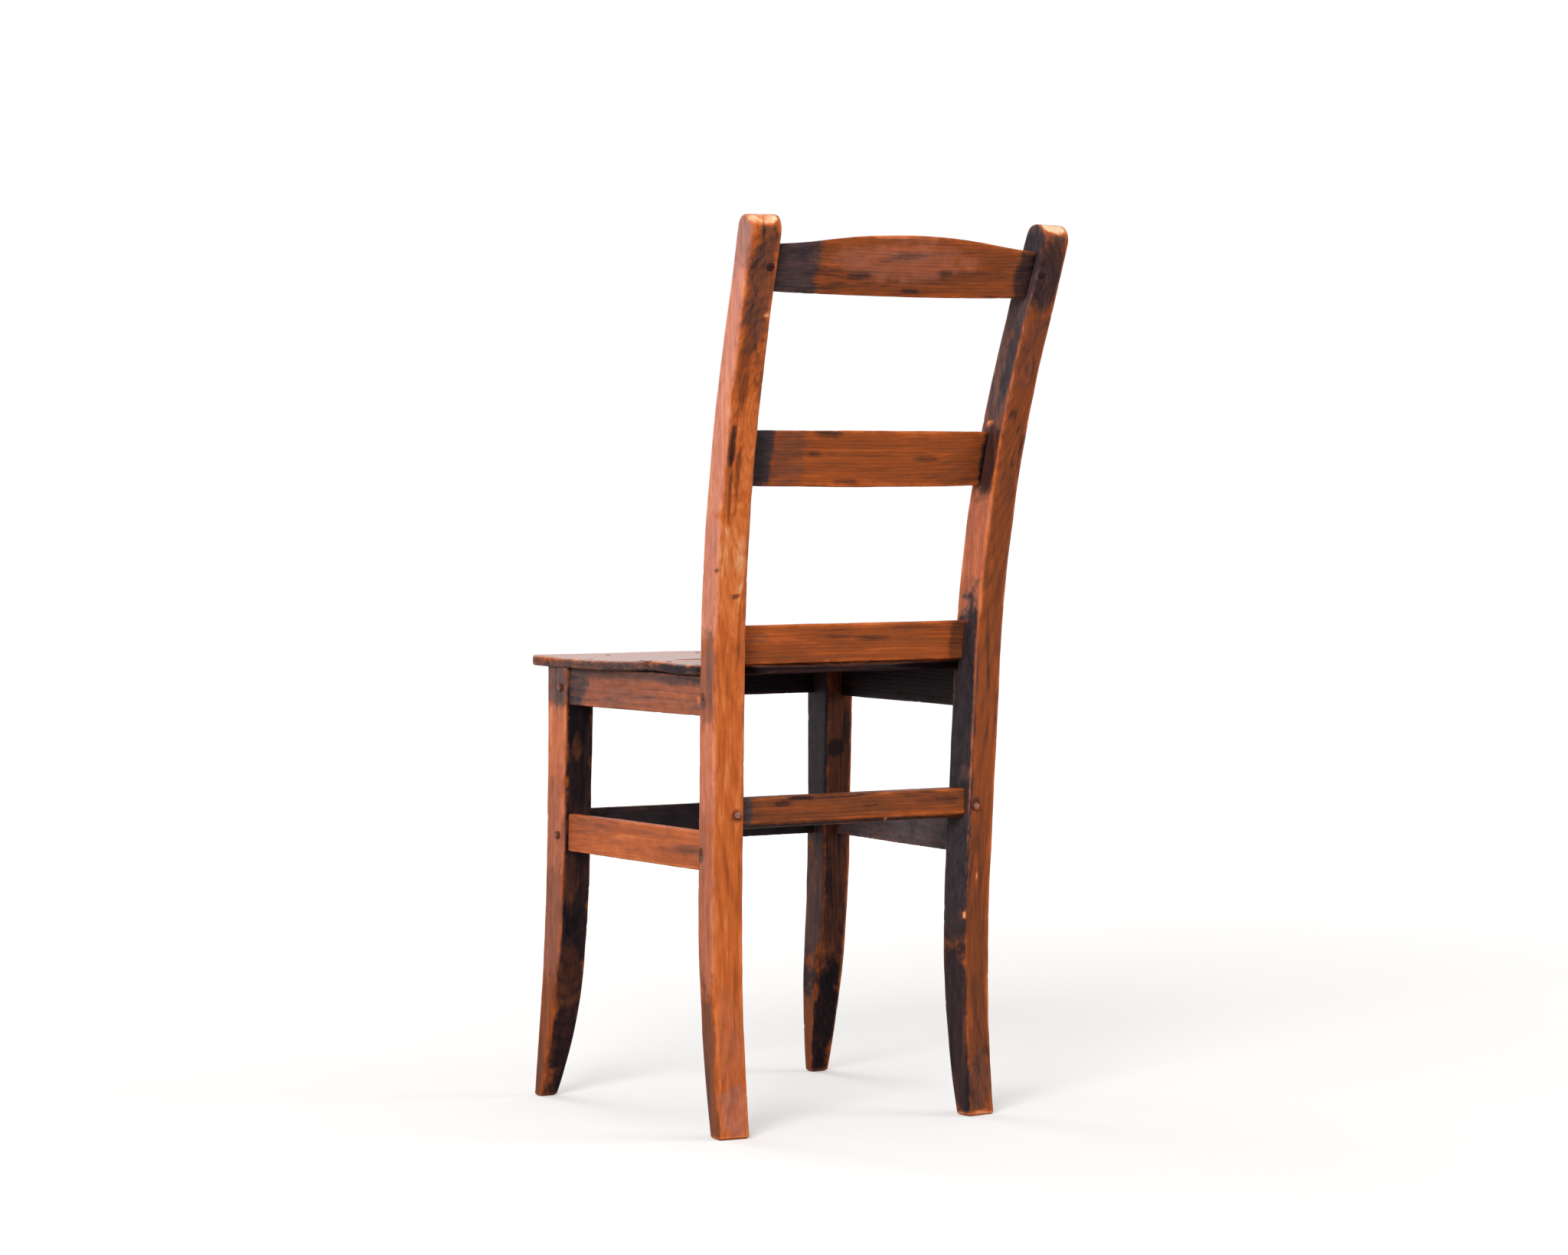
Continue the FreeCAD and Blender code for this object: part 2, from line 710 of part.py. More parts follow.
low_middle = "(front_stretcher_bottom + front_stretcher_height / 2)"
low_y = f"-leg_set_forward + {leg_front(low_middle)} + front_set_back"
front_stretcher_solid, front_stretcher_mortises = straight_rail(
    "front_stretcher", at(0, low_y, "front_stretcher_bottom"), "front_stretcher_thickness",
    "front_stretcher_height", leg_inner, "leg_tenon_length",
    [beyond_leg_inner(f"front_stretcher_end_{label}", side) for label, side in SIDES])

# Side aprons and side stretchers, with the pegs of their tenons

side_rails = {}
for label, side in SIDES:
    into_post = f"{post_frame(side)} * "
    into_leg = f"{leg_frame(side)} * "
    post_outer = f"{side} * post_width / 2"
    leg_outer = f"{side} * leg_width / 2"
    for kind, bottom, height, thickness, inset, drop in (
            ("side_apron", f"({apron_top} - side_apron_height)", "side_apron_height",
             "side_apron_thickness", "side_apron_front_inset", "apron_peg_drop"),
            ("side_stretcher", f"{label}_stretcher_bottom", "side_stretcher_height",
             "side_stretcher_thickness", "side_stretcher_front_inset", "stretcher_peg_drop")):
        solid, mortise = side_rail(f"{kind}_{label}", side, bottom, height, thickness, inset)
        middle = f"({bottom} + {height} / 2)"
        holes = []
        pin(f"{kind}_pegs", label, side, "front",
            into_leg + at(leg_outer, f"{leg_rear(middle)} - leg_tenon_length / 2",
                          f"{middle} - {drop}", 0, -90 * side),
            "leg_peg_depth", "peg_proud", holes)
        pin(f"{kind}_pegs", label, side, "rear",
            into_post + at(post_outer, f"{post_front(middle)} + peg_inset", middle,
                           0, -90 * side),
            "side_peg_depth", "flush_peg_proud", holes)
        mortises[f"{label}_leg"].append(mortise)
        mortises[f"{label}_post"].append(mortise)
        side_rails[kind, label] = (solid, holes)

# The pegs of the rails that run across

crest_peg_height = "(crest_bottom + crest_height / 2)"
crest_holes, stretcher_holes, apron_holes, low_holes = [], [], [], []
for label, side in SIDES:
    across = f"{-side} * (post_width / 2 - peg_inset)"
    into_post = f"{post_frame(side)} * "
    into_leg = f"{leg_frame(side)} * "
    leg_across = f"{-side} * (leg_width / 2 - peg_inset - shoulder)"
    pin("crest_pegs", label, side, "rear",
        into_post + at(across, back_rear(crest_peg_height), crest_peg_height,
                       0, 0, "90 - post_rake + post_taper"),
        "crest_peg_depth", "flush_peg_proud", crest_holes)
    drop = "0" if side > 0 else "right_back_peg_drop"
    peg_height = f"({stretcher_middle} - {drop})"
    pin("back_stretcher_pegs", label, side, "rear",
        into_post + at(across, f"{post_front(peg_height)} + post_depth", peg_height,
                       0, 0, "90 - post_tilt"),
        "post_peg_depth", "peg_proud", stretcher_holes)
    pin("front_apron_pegs", label, side, "front",
        into_leg + at(leg_across, leg_front(f"({apron_top} - front_apron_height / 2)"),
                      f"{apron_top} - front_apron_height / 2", 0, 0, -90),
        "front_peg_depth", "flush_peg_proud", apron_holes)
    pin("front_stretcher_pegs", label, side, "front",
        into_leg + at(leg_across, leg_front(low_middle), low_middle, 0, 0, -90),
        "front_peg_depth", "flush_peg_proud", low_holes)
    mortises[f"{label}_post"] += [crest_mortises, slat_mortises, lower_mortises,
                                  back_stretcher_mortises]
    mortises[f"{label}_leg"] += [front_apron_mortises, front_stretcher_mortises]

node(cut("crest_rail_bored", crest_solid, crest_holes), "crest_rail")
node(slat_solid, "middle_slat")
node(lower_solid, "lower_back_rail")
node(cut("back_stretcher_bored", back_stretcher_solid, stretcher_holes), "back_stretcher")
node(cut("front_stretcher_bored", front_stretcher_solid, low_holes), "front_stretcher")

# Seat: two boards, cut round the posts, nailed to the aprons

seat_under = "(seat_height - seat_thickness)"
seat_front = "(-leg_set_forward - seat_nose)"
seat_rear_corner = post_y("post_width / 2", post_front("seat_height"), "seat_height")
front_half = "(leg_spread / 2 + leg_width / 2 - seat_height * sin(leg_lean)" \
             " + seat_front_overhang)"
rear_half = f"({post_x('post_width / 2', post_front('seat_height'), 'seat_height')}" \
            " + seat_rear_overhang)"
tongue_y = post_y("-post_width / 2", f"({post_front('seat_height')} + seat_tongue)", "seat_height")


def seat_half(y):
    """Half the width of the seat at y, between its slanted side edges."""
    share = f"({y} - {seat_front}) / ({seat_rear_corner} - {seat_front})"
    return f"({front_half} + ({rear_half} - {front_half}) * {share})"


def seat_board(name, front, rear):
    """A board between two lines across the seat, rounded at its open edges."""
    made = body(f"{name}_stock", at(0, 0, seat_under))
    drawing = sketch(made, f"{name}_plan", "XY_Plane")
    outline(drawing, [(f"-{seat_half(front)}", front), (seat_half(front), front),
                      (seat_half(rear), rear), (f"-{seat_half(rear)}", rear)])
    padded = pad(made, drawing, f"{name}_thickness", "seat_thickness")
    nose = number(seat_front)

    def at_nose(edge):
        return climbs(edge) and edge.CenterOfMass.y - nose < number("seat_corner")

    def exposed(edge):
        inside = runs("x")(edge) and edge.CenterOfMass.y - nose > number("seat_corner")
        return not climbs(edge) and not inside

    if front == seat_front:
        padded = dress(made, padded, "Fillet", f"{name}_corners", at_nose, Radius="seat_corner")
    dress(made, padded, "Fillet", f"{name}_rounding", exposed, Radius="seat_edge")
    return made


notches = [beyond_post_inner(f"seat_notch_{label}", side, "seat_post_gap",
                       f"{post_front('seat_height')} - seat_shoulder_gap")
           for label, side in SIDES]


def nail(name, x, y):
    """A flush nail and its clearance hole, at x and y on the seat."""
    made = []
    for part, grow in (("", "0"), ("_hole", "nail_clearance")):
        head = doc.addObject("Part::Cylinder", f"{name}_head{part}")
        bind(head, Radius=f"nail_head_width / 2 + {grow}", Height="nail_head_depth",
             Placement=at(x, y, "seat_height - nail_head_depth"))
        shank = doc.addObject("Part::Cylinder", f"{name}_shank{part}")
        bind(shank, Radius=f"nail_width / 2 + {grow}", Height=f"nail_length + {grow}",
             Placement=at(x, y, f"seat_height - nail_length - {grow}"))
        made.append(fuse(f"{name}_body{part}", head, shank))
    return made


nails = []
nail_holes = {"front": [], "rear": []}
apron_nail_holes = []
side_nail_holes = {"left": [], "right": []}
nail_line = f"({apron_y} + front_apron_thickness / 2)"
for index, share in enumerate(FRONT_NAILS):
    made, hole = nail(f"nail_front_{index}", f"{share} * {leg_inner}", nail_line)
    nails.append(made)
    nail_holes["front"].append(hole)
    apron_nail_holes.append(hole)


def apron_line(y):
    """World x of the middle of the left side apron's thickness at y."""
    front_x, front_y, rear_x, rear_y = side_line(f"({apron_top} - side_apron_height / 2)",
                                                 "side_apron_front_inset")
    share = f"({y} - {front_y}) / ({rear_y} - {front_y})"
    return f"({front_x} + ({rear_x} - {front_x}) * {share} - side_apron_thickness / 2)"


for label, side in SIDES:
    for index, (board, y) in enumerate((
            ("front", f"(-leg_set_forward + {leg_rear(apron_top)} + nail_end_margin)"),
            ("front", "(seat_joint - nail_end_margin)"),
            ("rear", "(seat_joint + nail_end_margin / 2)"),
            ("rear", f"({seat_rear_corner} - nail_end_margin / 2)"))):
        made, hole = nail(f"nail_{label}_{index}", f"{side} * {apron_line(y)}", y)
        nails.append(made)
        nail_holes[board].append(hole)
        side_nail_holes[label].append(hole)

front_board = seat_board("seat_board_front", seat_front, "(seat_joint - seat_board_gap / 2)")
node(cut("seat_board_front_bored", front_board, nail_holes["front"]), "seat_board_front")
rear_board = seat_board("seat_board_rear", "(seat_joint + seat_board_gap / 2)", tongue_y)
node(cut("seat_board_rear_bored", rear_board, notches + nail_holes["rear"]), "seat_board_rear")
node(cut("front_apron_bored", front_apron_solid, apron_holes + apron_nail_holes), "front_apron")
for (kind, label), (solid, holes) in side_rails.items():
    if kind == "side_apron":
        holes = holes + side_nail_holes[label]
    node(cut(f"{kind}_{label}_bored", solid, holes), f"{kind}_{label}")
group("seat_nails", nails)

# Posts and legs, with their mortises, and their feet cut level with the floor

floor = box("floor", (REACH * 4, REACH * 4, REACH), at(-REACH * 2, -REACH * 2, -REACH))
above_legs = box("above_legs", (REACH * 4, REACH * 4, REACH), at(-REACH * 2, -REACH * 2, seat_under))
for label, side in SIDES:
    node(cut(f"back_post_{label}_cut", post_blank(label, side),
             mortises[f"{label}_post"] + [floor]), f"back_post_{label}")
    node(cut(f"front_leg_{label}_cut", leg_blank(label, side),
             mortises[f"{label}_leg"] + [floor, above_legs]), f"front_leg_{label}")
for kind, made in pegs.items():
    group(kind, made)

# Check everything, then write one file per sub-part

doc.recompute()
for item in doc.Objects:
    if {"Invalid", "Error"} & set(item.State):
        raise RuntimeError(f"{item.Name} failed: {item.State}")
for item in nodes:
    if item.Shape.isNull() or not item.Shape.isValid():
        raise RuntimeError(f"{item.Label} has no sound shape")

os.makedirs("parts", exist_ok=True)
whole = FreeCAD.BoundBox()
for item in nodes:
    item.Shape.exportStep(f"parts/{item.Label}.step")
    whole.add(item.Shape.BoundBox)
    print(item.Label, len(item.Shape.Solids), round(item.Shape.Volume / 1000, 1), "cm3")
print("size", [round(size, 1) for size in (whole.XLength, whole.YLength, whole.ZLength)],
      "middle", [round(size, 2) for size in (whole.Center.x, whole.Center.y, whole.ZMin)])
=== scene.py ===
import json
import math

import bpy
from mathutils import Euler, Matrix, Vector, noise

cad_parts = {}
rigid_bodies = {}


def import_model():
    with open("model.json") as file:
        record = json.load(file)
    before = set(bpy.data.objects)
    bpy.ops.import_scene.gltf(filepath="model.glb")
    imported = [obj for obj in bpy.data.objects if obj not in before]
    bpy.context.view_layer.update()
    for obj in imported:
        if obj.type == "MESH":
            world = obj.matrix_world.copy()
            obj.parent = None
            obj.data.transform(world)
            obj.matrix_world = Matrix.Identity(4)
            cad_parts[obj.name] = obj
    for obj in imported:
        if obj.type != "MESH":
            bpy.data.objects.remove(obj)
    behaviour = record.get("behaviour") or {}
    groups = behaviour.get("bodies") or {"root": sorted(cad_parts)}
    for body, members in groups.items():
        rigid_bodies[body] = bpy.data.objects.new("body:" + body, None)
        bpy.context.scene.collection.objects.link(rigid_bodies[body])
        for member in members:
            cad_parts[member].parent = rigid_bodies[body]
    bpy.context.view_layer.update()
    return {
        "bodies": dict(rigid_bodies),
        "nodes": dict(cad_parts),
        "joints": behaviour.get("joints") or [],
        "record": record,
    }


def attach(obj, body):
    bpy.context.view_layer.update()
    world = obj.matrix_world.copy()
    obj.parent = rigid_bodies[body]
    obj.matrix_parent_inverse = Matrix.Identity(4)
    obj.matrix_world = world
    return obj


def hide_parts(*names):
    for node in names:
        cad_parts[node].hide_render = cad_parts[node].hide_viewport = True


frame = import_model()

# Rustic ladderback side chair. Sizes are millimetres and degrees, in the frame of the packed
# model: +Z is up, the front of the chair faces -Y, and the floor lies at z = 0. Each wooden
# piece is a loft through rings of corners, with worn arrises and a hand-worked surface.

MM = 0.001
SIDES = {"left": 1, "right": -1}
AXES = {"x": Vector((1, 0, 0)), "y": Vector((0, 1, 0)), "z": Vector((0, 0, 1))}

# Back posts, in a frame at the middle of the foot
POST_SPREAD = 283.1
POST_SET_BACK = 117.1
POST_TOE = 6.3
POST_LEAN = 0.67
POST_WIDTH = 32.5
OUTER = POST_WIDTH / 2
POST_DEPTH = 34.3
POST_KICK = 32.9
POST_FOOT_DEPTH = 20.6
POST_SHANK_FROM = 235.0
POST_TILT = 3.35
POST_BEND_FROM = 445.0
POST_FRONT_BEND = 1110.0
POST_REAR_BEND = 1185.0
POST_RAKE = 19.9
POST_TAPER = 0.5
POST_TOP_CENTRE = 865.6

# Front legs, in a frame near the front face of the straight upper stretch
LEG_SPREAD = 314.4
LEG_SET_FORWARD = 197.1
LEG_WIDTH = 33.0
LEG_OUTER = LEG_WIDTH / 2
LEG_LEAN = 0.26
LEG_FRONT_KICK = 34.6
LEG_REAR_KICK = 20.3
LEG_FRONT_FROM = 300.0
LEG_FRONT_LEAD = 4.7
LEG_FRONT_TILT = 0.94
LEG_REAR_FROM = 250.0
LEG_DEPTH = 28.75
LEG_REAR_TILT = 2.58
LEG_TAPER_FROM = 150.0
LEG_TAPER = 13.7
FOOT_TRIM = 2.0

# Seat
SEAT_HEIGHT = 455.0
SEAT_THICKNESS = 10.0
SEAT_NOSE = 31.0
SEAT_JOINT = 7.9
SEAT_FRONT_OVERHANG = 4.85
SEAT_REAR_OVERHANG = 1.75
SEAT_TONGUE = 9.7
SEAT_POST_GAP = 3.0
SEAT_SHOULDER_GAP = 1.5
NOTCH_CORNER = 0.2
SEAT_ARRIS = 2.4
SEAT_CORNER = 7.0
SEAT_CORNER_TURNS = range(0, 90, 10)
SEAT_NOSE_DROP = 4.0
SEAT_NOSE_TURN = 20
SEAT_NOSE_ARRIS = 0.6
SEAT_RING_STEP = 3.5
SEAT_FLATS = [2, 110, 2, 110]
SEAT_CHIP = (168.0, 4.0)
CHIP_SIZE = 5.0
CHIP_REACH = 1.6
CHIP_INWARD = 2.2
CHIP_DOWN = 3.2
CUP_DEPTH = 1.8
CUP_MIDDLE = 132.0
JOINT_RISE = 2.0
JOINT_FADE = 55.0
JOINT_CURVE = 1.3
JOINT_OVERLAP = 0.2

# Rails: bottom, height, thickness or depth
FRONT_APRON = (408.6, 36.4, 11.5)
FRONT_STRETCHER = (259.3, 37.5, 11.0)
FRONT_SET_BACK = 2.0
SIDE_APRON = (405.9, 39.1, 10.0)
SIDE_STRETCHER = {"left": (256.4, 38.2, 10.0), "right": (259.3, 38.2, 10.0)}
SIDE_INSET = {"apron": 4.25, "stretcher": 6.75}
SIDE_REAR_INSET = 1.75
BACK_STRETCHER = (297.0, 29.6, 21.5)
BACK_STRETCHER_SET_BACK = 6.0
BACK_STRETCHER_CHAMFER = 5.0
LOWER_RAIL = (455.0, 38.1, 12.0)
LOWER_RAIL_SET_BACK = 12.7
LOWER_RAIL_RAKE = 6.5

# Pegs and nails
PEG_WIDTH = 7.5
PEG_PROUD = 3.5
FLUSH_PEG_PROUD = 0.8
PEG_INSET = 7.2
PEG_ROOT = 4.0
SHOULDER = 2.0
LEG_TENON_LENGTH = 18.0
APRON_PEG_DROP = 2.0
STRETCHER_PEG_DROP = 2.7
RIGHT_BACK_PEG_DROP = 3.0
PEG_SIDES = 8
PEG_SEED = 20
PEG_KINDS_APART = 5
PEG_TONES = {"crest": 0.14}
PEG_TONE = 0.36
PRISM_DOME = ((0.45, 1.0), (0.8, 0.96), (0.97, 0.84), (1.0, 0.62), (1.02, 0.3))
PRISM_ARRIS = 0.5
PRISM_ROUGHNESS = 0.3
WHITTLED = 0.07
WHITTLED_APART = (3.1, 1.7)
CUT_SLANT = 0.12
NAIL_HEAD_WIDTH = 5.2
NAIL_PROUD = 0.25
NAIL_SIDES = 10
NAIL_SEED = 60
NAIL_TONE = 0.2
NAIL_END_MARGIN = 34.0
FRONT_NAILS = (-0.75, 0, 0.75)

# Bowed rails: bottom, height at the ends, rise of the arch, rake, set-back, bow, thickness
CREST = (810.2, 41.2, 12.3, 19.9, 18.0, 12.9, 15.0)
SLAT = (627.3, 52.6, 0.0, 14.2, 10.2, 8.7, 9.0)

# Mesh of the skins
ARRIS = 2.3
RAIL_ARRIS = 1.6
FOOT_ARRIS = 2.0
FOOT_TURNS = (0, 30, 60)
TOP_TURNS = range(-15, 89, 6)
RING_STEP = 2.2
ARC_POINTS = 4
FLAT_POINTS = 11
EMBED = 0.6

# Hand-worked surface: (height, length) of each kind of unevenness
WAVE = (0.45, 75.0)
TOOL_MARK = (0.14, 14.0)
NICK = (1.5, 8.0)
NICK_RARITY = 0.42
RUB_REACH = 2.5
WEAR_REACH = 1.0
ARRIS_CHANGE = (0.4, 30.0)
SAW_PITCH = 5.0
SAW_LENGTH = 60.0

# Edge of a painted mark, in shares of its half size: where it ends and how soft and ragged it is
MARK_END = 1.2
MARK_SOFTNESS = 0.45
MARK_REACH = 1.7
RAGGED = ((0.35, 16.0), (0.25, 5.0))

# Each piece is cut from its own place in the timber
PIECE_SHIFT = Vector((137.0, 71.0, 211.0))
PITH_SIDEWAYS = 60
PITH_BELOW = 38
PITH_STEP = 17
PITH_RANGE = 40
PITH_ROW = 3.7
PIECES_APART = 731


def radians(*angles):
    return [math.radians(a) for a in angles]


def rearward(lean):
    """Direction out of a rear face that leans back by some degrees."""
    lean = math.radians(lean)
    return Vector((0, math.cos(lean), -math.sin(lean)))


# Profiles of the posts and legs

def kicked(z, start_y, start_z, tilt, foot_y):
    """y of a face that curves smoothly from its straight stretch down to the foot."""
    tilt = math.radians(tilt)
    out = foot_y - start_y
    fall = start_z + FOOT_TRIM
    toward = out * math.cos(tilt) + fall * math.sin(tilt)
    radius = (out ** 2 + fall ** 2) / (2 * toward)
    centre_y = start_y + radius * math.cos(tilt)
    centre_z = start_z - radius * math.sin(tilt)
    return centre_y - math.copysign(math.sqrt(radius ** 2 - (z - centre_z) ** 2), radius)


def bent(z, radius, rake):
    """How far a post's face has moved back above the shank."""
    tilt, rake = radians(POST_TILT, rake)
    rise = z - POST_BEND_FROM
    turn = math.asin(min(math.sin(tilt) + rise / radius, math.sin(rake)))
    straight = rise - radius * (math.sin(turn) - math.sin(tilt))
    return radius * (math.cos(tilt) - math.cos(turn)) + straight * math.tan(turn)


def post_face(z, shank_y, foot_y, radius, rake):
    if z < POST_SHANK_FROM:
        return kicked(z, shank_y, POST_SHANK_FROM, POST_TILT, foot_y)
    slope = math.tan(math.radians(POST_TILT))
    if z < POST_BEND_FROM:
        return shank_y + (z - POST_SHANK_FROM) * slope
    return shank_y + (POST_BEND_FROM - POST_SHANK_FROM) * slope + bent(z, radius, rake)


def post_front(z):
    """y of a post's front face at a height, in the post's frame."""
    return post_face(z, -POST_KICK, -POST_FOOT_DEPTH / 2, POST_FRONT_BEND, POST_RAKE)


def post_rear(z):
    return post_face(z, POST_DEPTH - POST_KICK, POST_FOOT_DEPTH / 2, POST_REAR_BEND,
                     POST_RAKE - POST_TAPER)


def leg_front(z):
    """y of a front leg's front face at a height, in the leg's frame."""
    if z < LEG_FRONT_FROM:
        return kicked(z, -LEG_FRONT_LEAD, LEG_FRONT_FROM, LEG_FRONT_TILT, -LEG_FRONT_KICK)
    return -LEG_FRONT_LEAD + (z - LEG_FRONT_FROM) * math.tan(math.radians(LEG_FRONT_TILT))


def leg_rear(z):
    if z < LEG_REAR_FROM:
        return kicked(z, LEG_DEPTH, LEG_REAR_FROM, LEG_REAR_TILT, -LEG_REAR_KICK)
    return LEG_DEPTH + (z - LEG_REAR_FROM) * math.tan(math.radians(LEG_REAR_TILT))


def post_frame(side):
    toe, lean = radians(-side * POST_TOE, side * POST_LEAN)
    return Matrix.Translation((side * POST_SPREAD / 2, POST_SET_BACK, 0)) \
        @ Matrix.Rotation(toe, 4, "Z") @ Matrix.Rotation(lean, 4, "Y")


def leg_frame(side):
    return Matrix.Translation((side * LEG_SPREAD / 2, -LEG_SET_FORWARD, 0)) \
        @ Matrix.Rotation(math.radians(-side * LEG_LEAN), 4, "Y")


def by_post(outward, back, z):
    """World place by the left post: outward from its middle and back from its front face."""
    return post_frame(1) @ Vector((outward, post_front(z) + back, z))


# Wear and old polish, with painted shade and painted sheen. Each mark is (tone, painted sheen,
# strength, centre, half sizes), in the frame of its piece: across, from the rear face and up for
# a post or leg, along its length for a side rail, and the chair's own frame for the rest.

WIDE = 90.0
FACE_MIDDLE = -17
SKIN_DEEP = 2.6


def band(tone, painted_sheen, strength, across, z, half):
    """A mark right across a side face of a post or leg. half is half of its height."""
    return (tone, painted_sheen, strength, (across, FACE_MIDDLE, z), (SKIN_DEEP, WIDE, half))


LEFT_POST_MARKS = (
    # Outer face, from the top down, under a painted sheen
    band(0.53, 0.75, 1.0, OUTER, 855, 45),
    band(0.72, 1.2, 1.0, OUTER, 770, 60),
    band(0.80, 0.9, 1.0, OUTER, 660, 80),
    band(0.77, 0.9, 1.0, OUTER, 540, 70),
    band(0.55, 0.25, 1.0, OUTER, 435, 50),
    band(0.70, 0.6, 1.0, OUTER, 350, 50),
    band(0.65, 0.38, 1.0, OUTER, 220, 90),
    band(0.46, 0.0, 1.0, OUTER, 65, 82),
    # Rear face: dark at the top, bright in the middle
    (0.40, 0.1, 0.95, (-2, 0, 810), (15, 4, 62)),
    (0.42, 0.0, 0.7, (4, 0, 735), (6, 4, 45)),
    (0.82, 0.0, 0.9, (-5, 0, 660), (11, 4, 50)),
    (0.86, 0.0, 0.85, (0, 0, 555), (14, 4, 70)),
    (0.76, 0.0, 0.7, (0, 0, 370), (14, 4, 70)),
    (0.66, 0.2, 0.8, (0, 0, 95), (15, 4, 50)),
    (0.60, 0.5, 0.8, (0, 0, 25), (15, 4, 28)),
    (1.02, 0.3, 1.0, (1, -5, 877), (18, 13, 7)),
    (0.22, 0.0, 0.85, (9, 0, 663), (3.2, 4, 19)),
    (0.35, 0.0, 0.7, (7.5, 0, 614), (1.6, 4, 26)),
    (0.35, 0.0, 0.6, (1, 0, 640), (1.5, 4, 40)),
    (0.25, 0.0, 0.9, (15.6, -2, 547), (1.6, 4, 2.5)),
    (0.30, 0.1, 0.8, (-4.3, 0, 522), (3.4, 4, 1.8)),
    (1.00, 0.3, 1.0, (-12, 0, 786), (3.2, 4, 2.4)),
    (0.25, 0.2, 0.8, (OUTER, -26, 420), (3, 7, 7)),
    (0.30, 0.2, 0.8, (OUTER, -28, 270), (3, 6, 5)),
    # Dark ring round the back stretcher's peg: painted contact shadow
    (0.30, 0.1, 0.7, (-9, 0, 311), (5.6, 4, 5.6)),
    (0.16, 0.0, 0.8, (-9, 0, 830), (4.2, 4, 4.2)),
    (0.80, 0.1, 0.7, (0, -10, 2), (22, 30, 1.8)),
    # Inner and front faces
    band(0.50, 0.2, 0.9, -OUTER, 600, 330),
    (0.55, 0.1, 0.9, (0, -35, 500), (17, 5, 420)),
)

RIGHT_POST_MARKS = (
    (0.18, 0.1, 0.95, (0, 0, 832), (18, 4, 42)),
    (0.43, 0.1, 0.7, (0, 0, 760), (15, 4, 40)),
    (0.56, 0.0, 0.7, (0, 0, 480), (14, 4, 60)),
    (0.44, 0.0, 0.7, (0, 0, 95), (15, 4, 50)),
    (0.36, 0.1, 0.8, (0, 0, 35), (12, 4, 30)),
    (1.02, 0.3, 1.0, (0, -5, 878), (18, 13, 8)),
    # Inner face, from the top down
    band(0.22, 0.3, 1.0, OUTER, 820, 62),
    band(0.06, 0.2, 0.9, OUTER, 850, 20),
    band(0.36, 0.3, 1.0, OUTER, 725, 45),
    (0.10, 0.3, 0.9, (OUTER, -9, 745), (2.6, 7, 42)),
    (0.10, 0.3, 0.7, (OUTER, -14, 700), (2.6, 4, 28)),
    # Small bright fleck: a painted highlight
    (0.90, 0.5, 0.9, (OUTER, -20, 688), (2.6, 5, 3)),
    band(0.64, 0.4, 1.0, OUTER, 575, 55),
    # Dark where the slat meets the inner face: a dark joint, with painted shade
    (0.20, 0.05, 0.95, (OUTER, -13, 650), (2.6, 14, 37)),
    band(0.60, 0.4, 1.0, OUTER, 514, 22),
    (0.03, 0.2, 1.0, (OUTER, -13, 420), (2.6, 26, 92)),
    band(0.03, 0.26, 1.0, OUTER, 300, 130),
    band(0.16, 0.1, 1.0, OUTER, 80, 95),
    (0.30, 0.4, 0.8, (OUTER, -10, 342), (2.6, 9, 8)),
    (0.95, 0.2, 0.9, (2.2, 0, 238), (1.2, 3, 3.2)),
    (0.98, 0.3, 1.0, (15.6, -1, 200), (1.6, 3, 4.5)),
    # Dark ring round the back stretcher's peg: painted contact shadow
    (0.20, 0.1, 0.8, (9, 0, 311), (5.6, 4, 5.6)),
    (0.92, 0.2, 0.9, (0, -10, 2), (22, 30, 3.4)),
    (0.78, 0.2, 0.6, (OUTER, 0, 520), (1.8, 2.2, 330)),
    # Outer and front faces
    band(0.60, 0.3, 0.9, -OUTER, 500, 420),
    (0.52, 0.1, 0.9, (0, -35, 500), (17, 5, 420)),
)

LEFT_LEG_MARKS = (
    # Rear face: dark, painted shade from the seat with dirt
    (0.07, 0.03, 1.0, (-2, 0, 250), (17, 4, 300)),
    (0.28, 0.0, 0.95, (2, 0, 128), (15, 4, 38)),
    (0.40, 0.0, 0.8, (2, 0, 362), (6, 4, 15)),
    (0.28, 0.0, 0.9, (6, 0, 228), (9, 4, 26)),
    (0.05, 0.0, 0.9, (3, 0, 179), (8, 4, 11)),
    (0.15, 0.0, 0.8, (3, 0, 55), (13, 4, 36)),
    band(0.72, 0.4, 1.0, LEG_OUTER, 365, 45),
    # Dark band just under the seat: painted shadow of the seat
    band(0.30, 0.4, 1.0, LEG_OUTER, 430, 24),
    band(0.62, 0.4, 1.0, LEG_OUTER, 280, 55),
    band(0.52, 0.3, 1.0, LEG_OUTER, 175, 60),
    band(0.46, 0.0, 1.0, LEG_OUTER, 60, 66),
    (0.70, 0.1, 0.6, (0, -10, 2), (22, 40, 1.6)),
)

RIGHT_LEG_MARKS = (
    # Rear face: dark, painted shade from the seat with dirt
    (0.33, 0.0, 1.0, (-2, 0, 250), (17, 4, 300)),
    (0.10, 0.0, 0.8, (3, 0, 352), (12, 4, 9)),
    (0.27, 0.0, 0.9, (0, 0, 190), (16, 4, 70)),
    (0.06, 0.0, 0.95, (0, 0, 60), (16, 4, 62)),
    band(0.04, 0.28, 1.0, LEG_OUTER, 350, 110),
    band(0.24, 0.2, 1.0, LEG_OUTER, 190, 60),
    band(0.14, 0.05, 1.0, LEG_OUTER, 60, 62),
    band(0.62, 0.3, 0.9, -LEG_OUTER, 230, 260),
    (0.70, 0.1, 0.6, (0, -10, 2), (22, 40, 1.6)),
)

